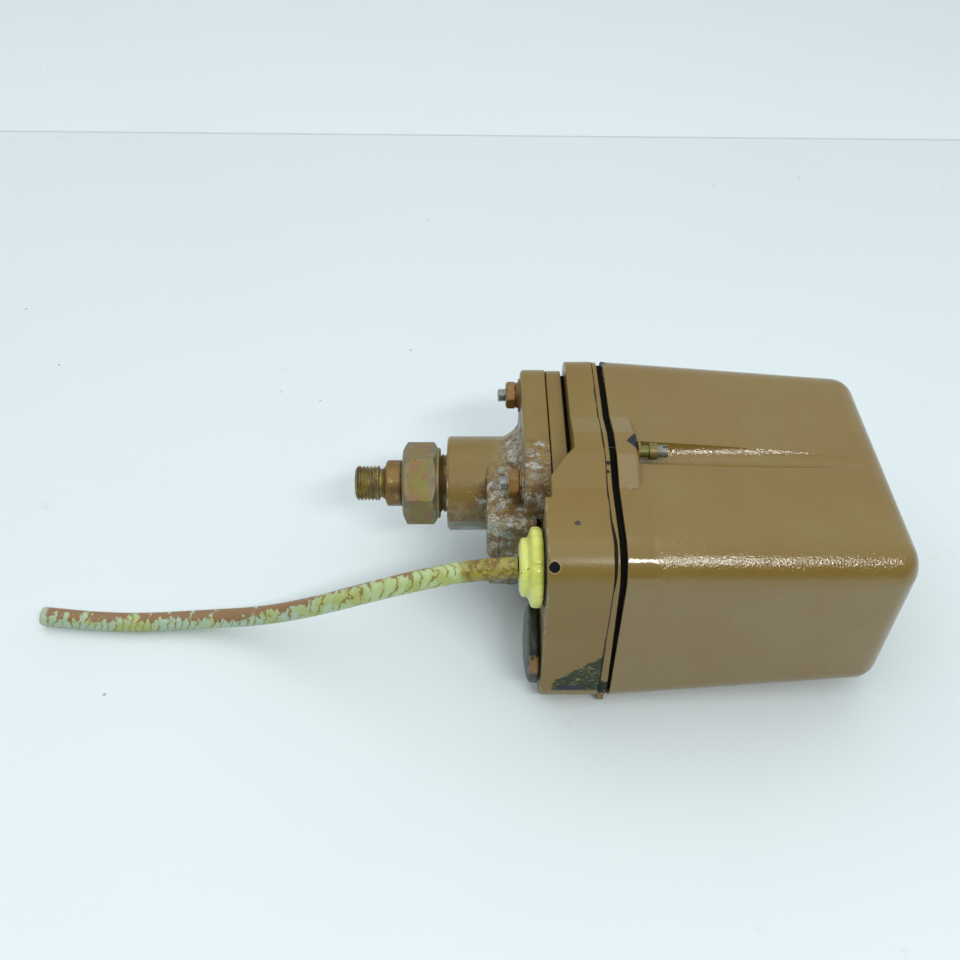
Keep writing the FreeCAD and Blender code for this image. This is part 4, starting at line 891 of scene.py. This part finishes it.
# ---------------------------------------------------------------- ground
def add_ground():
    """A table top, a grey strip along its far edge painted as the shade of a step there, and a backing sheet
    behind it; the edge runs slightly askew.
    """
    reach, far, width = 2.0, 2.5, 0.002
    edge_left, edge_right = 0.425, 0.345
    near_edge = ((reach, edge_right, 0.0), (-reach, edge_left, 0.0))
    far_edge = ((reach, edge_right + width, 0.0), (-reach, edge_left + width, 0.0))
    for name, front, back, colour, rough in (
            ("floor", ((reach, -reach, 0.0), (-reach, -reach, 0.0)), near_edge, srgb(229, 239, 242), 0.42),
            # painted shade: a grey strip for the shaded step along the table's far edge
            ("floor_edge_shade", near_edge, far_edge, srgb(205, 216, 220), 0.5),
            ("far_sheet", far_edge, ((reach, far, 0.0), (-reach, far, 0.0)), srgb(236, 246, 250), 0.5)):
        corners = (front[1], front[0], back[0], back[1])
        mesh = bmesh.new()
        mesh.faces.new([mesh.verts.new(corner) for corner in corners])
        data = bpy.data.meshes.new(name)
        mesh.to_mesh(data)
        mesh.free()
        data.materials.append(ground_sheet(name, colour, rough))
        sheet = bpy.data.objects.new(name, data)
        bpy.context.scene.collection.objects.link(sheet)


# ---------------------------------------------------------------- build
def main():
    bpy.context.scene.view_settings.view_transform = "Standard"
    add_camera()
    add_world()
    add_lamp("key", size=(0.42, 0.09), power=3.9, place=(0.33, -0.66, 0.85), aim=(0.05, 0.0, 0.04))
    add_lamp("overhead", size=(1.9, 1.4), power=6.5, place=(-0.35, 0.03, 1.2), aim=(0.0, 0.0, 0.0))
    sheath = cable_sheath()
    cable = add_cable(sheath)

    zinc_nut = stained_zinc("zinc_union_nut", -0.04, UNION_NUT_MIDDLE)
    zinc_nipple = stained_zinc("zinc_nipple", 0.05)
    zinc_thread = stained_zinc("zinc_thread", -0.08)
    plate = bright_metal("bright_zinc", STEEL)
    sheet = bright_metal("zinc_sheet", srgb(168, 168, 158), 0.36, (1.0, 0.1, 1.0))
    wire = bright_metal("spring_wire", srgb(140, 142, 144), 0.3)
    brass = bright_metal("turned_brass", srgb(200, 168, 96), 0.28)
    copper = bright_metal("copper_strands", srgb(190, 120, 84), 0.35)
    # black rubber, made darker than rubber is as painted shade for the deep gap at the cover's seam
    rubber = moulded("seal_rubber_with_gap_shade", srgb(9, 9, 8), 0.9, 0.02, level=0.12)
    black = moulded("black_plastic", srgb(40, 43, 40), 0.4, 0.12)
    phenolic = moulded("brown_phenolic", srgb(58, 40, 30), 0.38, 0.1)
    ivory = moulded("ivory_plastic", srgb(206, 200, 176), 0.42, 0.25, 0.1)
    red = moulded("red_plastic", srgb(176, 42, 34), 0.3, 0.1)
    insulation = moulded("core_insulation", srgb(150, 92, 52), 0.35, 0.1)

    finishes = {
        "base_housing": painted("base_paint", 0.16, base_chips),
        "sealing_frame": painted("frame_paint", 0.16, frame_chips),
        "cover_shell": painted("cover_paint", 0.13, cover_chips, soft_below=53.5, polish=0.07, gloss=0.8),
        "clamp_flange": painted("flange_paint", 0.12),
        "pressure_chamber": chamber_paint(),
        "cover_screw": cover_screw_metal(),
        "scale_plate": scale_aluminium(),
        "cable_tail": sheath,
    }
    shared = {
        rubber: ("cover_gasket", "spacer_gasket", "box_gasket", "diaphragm", "gland_seal"),
        plate: ("frame_screws", "lever_pivot_pin", "pivot_clips", "scale_screws",
                "snap_switch_screws", "bracket_screw", "terminal_screws", "earth_screw"),
        sheet: ("mechanism_frame", "main_lever", "lever_spring_cap", "terminal_bracket"),
        brass: ("push_rod", "rod_bush", "range_seat", "range_pointer", "range_screw", "differential_seat",
                "differential_screw", "snap_switch_tabs", "terminal_clamps"),
        black: ("gland_body", "gland_locknut", "gland_washer", "plug_washer"),
        phenolic: ("snap_switch_body",),
        ivory: ("terminal_block",),
        red: ("snap_switch_plunger",),
        insulation: ("supply_cores", "switch_leads"),
    }
    nuts = nut_paint()
    finishes["flange_washers"] = nuts
    finishes["screw_retainer"] = nuts
    for material, names in shared.items():
        for name in names:
            finishes[name] = material
    for name, material in finishes.items():
        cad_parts[name].material_slots[0].material = material

    add_nipple(zinc_nipple)
    add_stud_fitting(zinc_thread)
    add_union_nut(zinc_nut)
    add_flange_hardware(nuts, plate)
    add_gland_nut(gland_plastic())
    add_blanking_plug(plug_plastic())
    add_spring("range_spring", mean_radius=7.1, wire_radius=1.1, turns=8,
               material=wire)
    add_spring("differential_spring", mean_radius=3.0, wire_radius=0.55, turns=11,
               material=wire)
    ends = add_cable_end(copper, insulation)
    add_ground()


main()
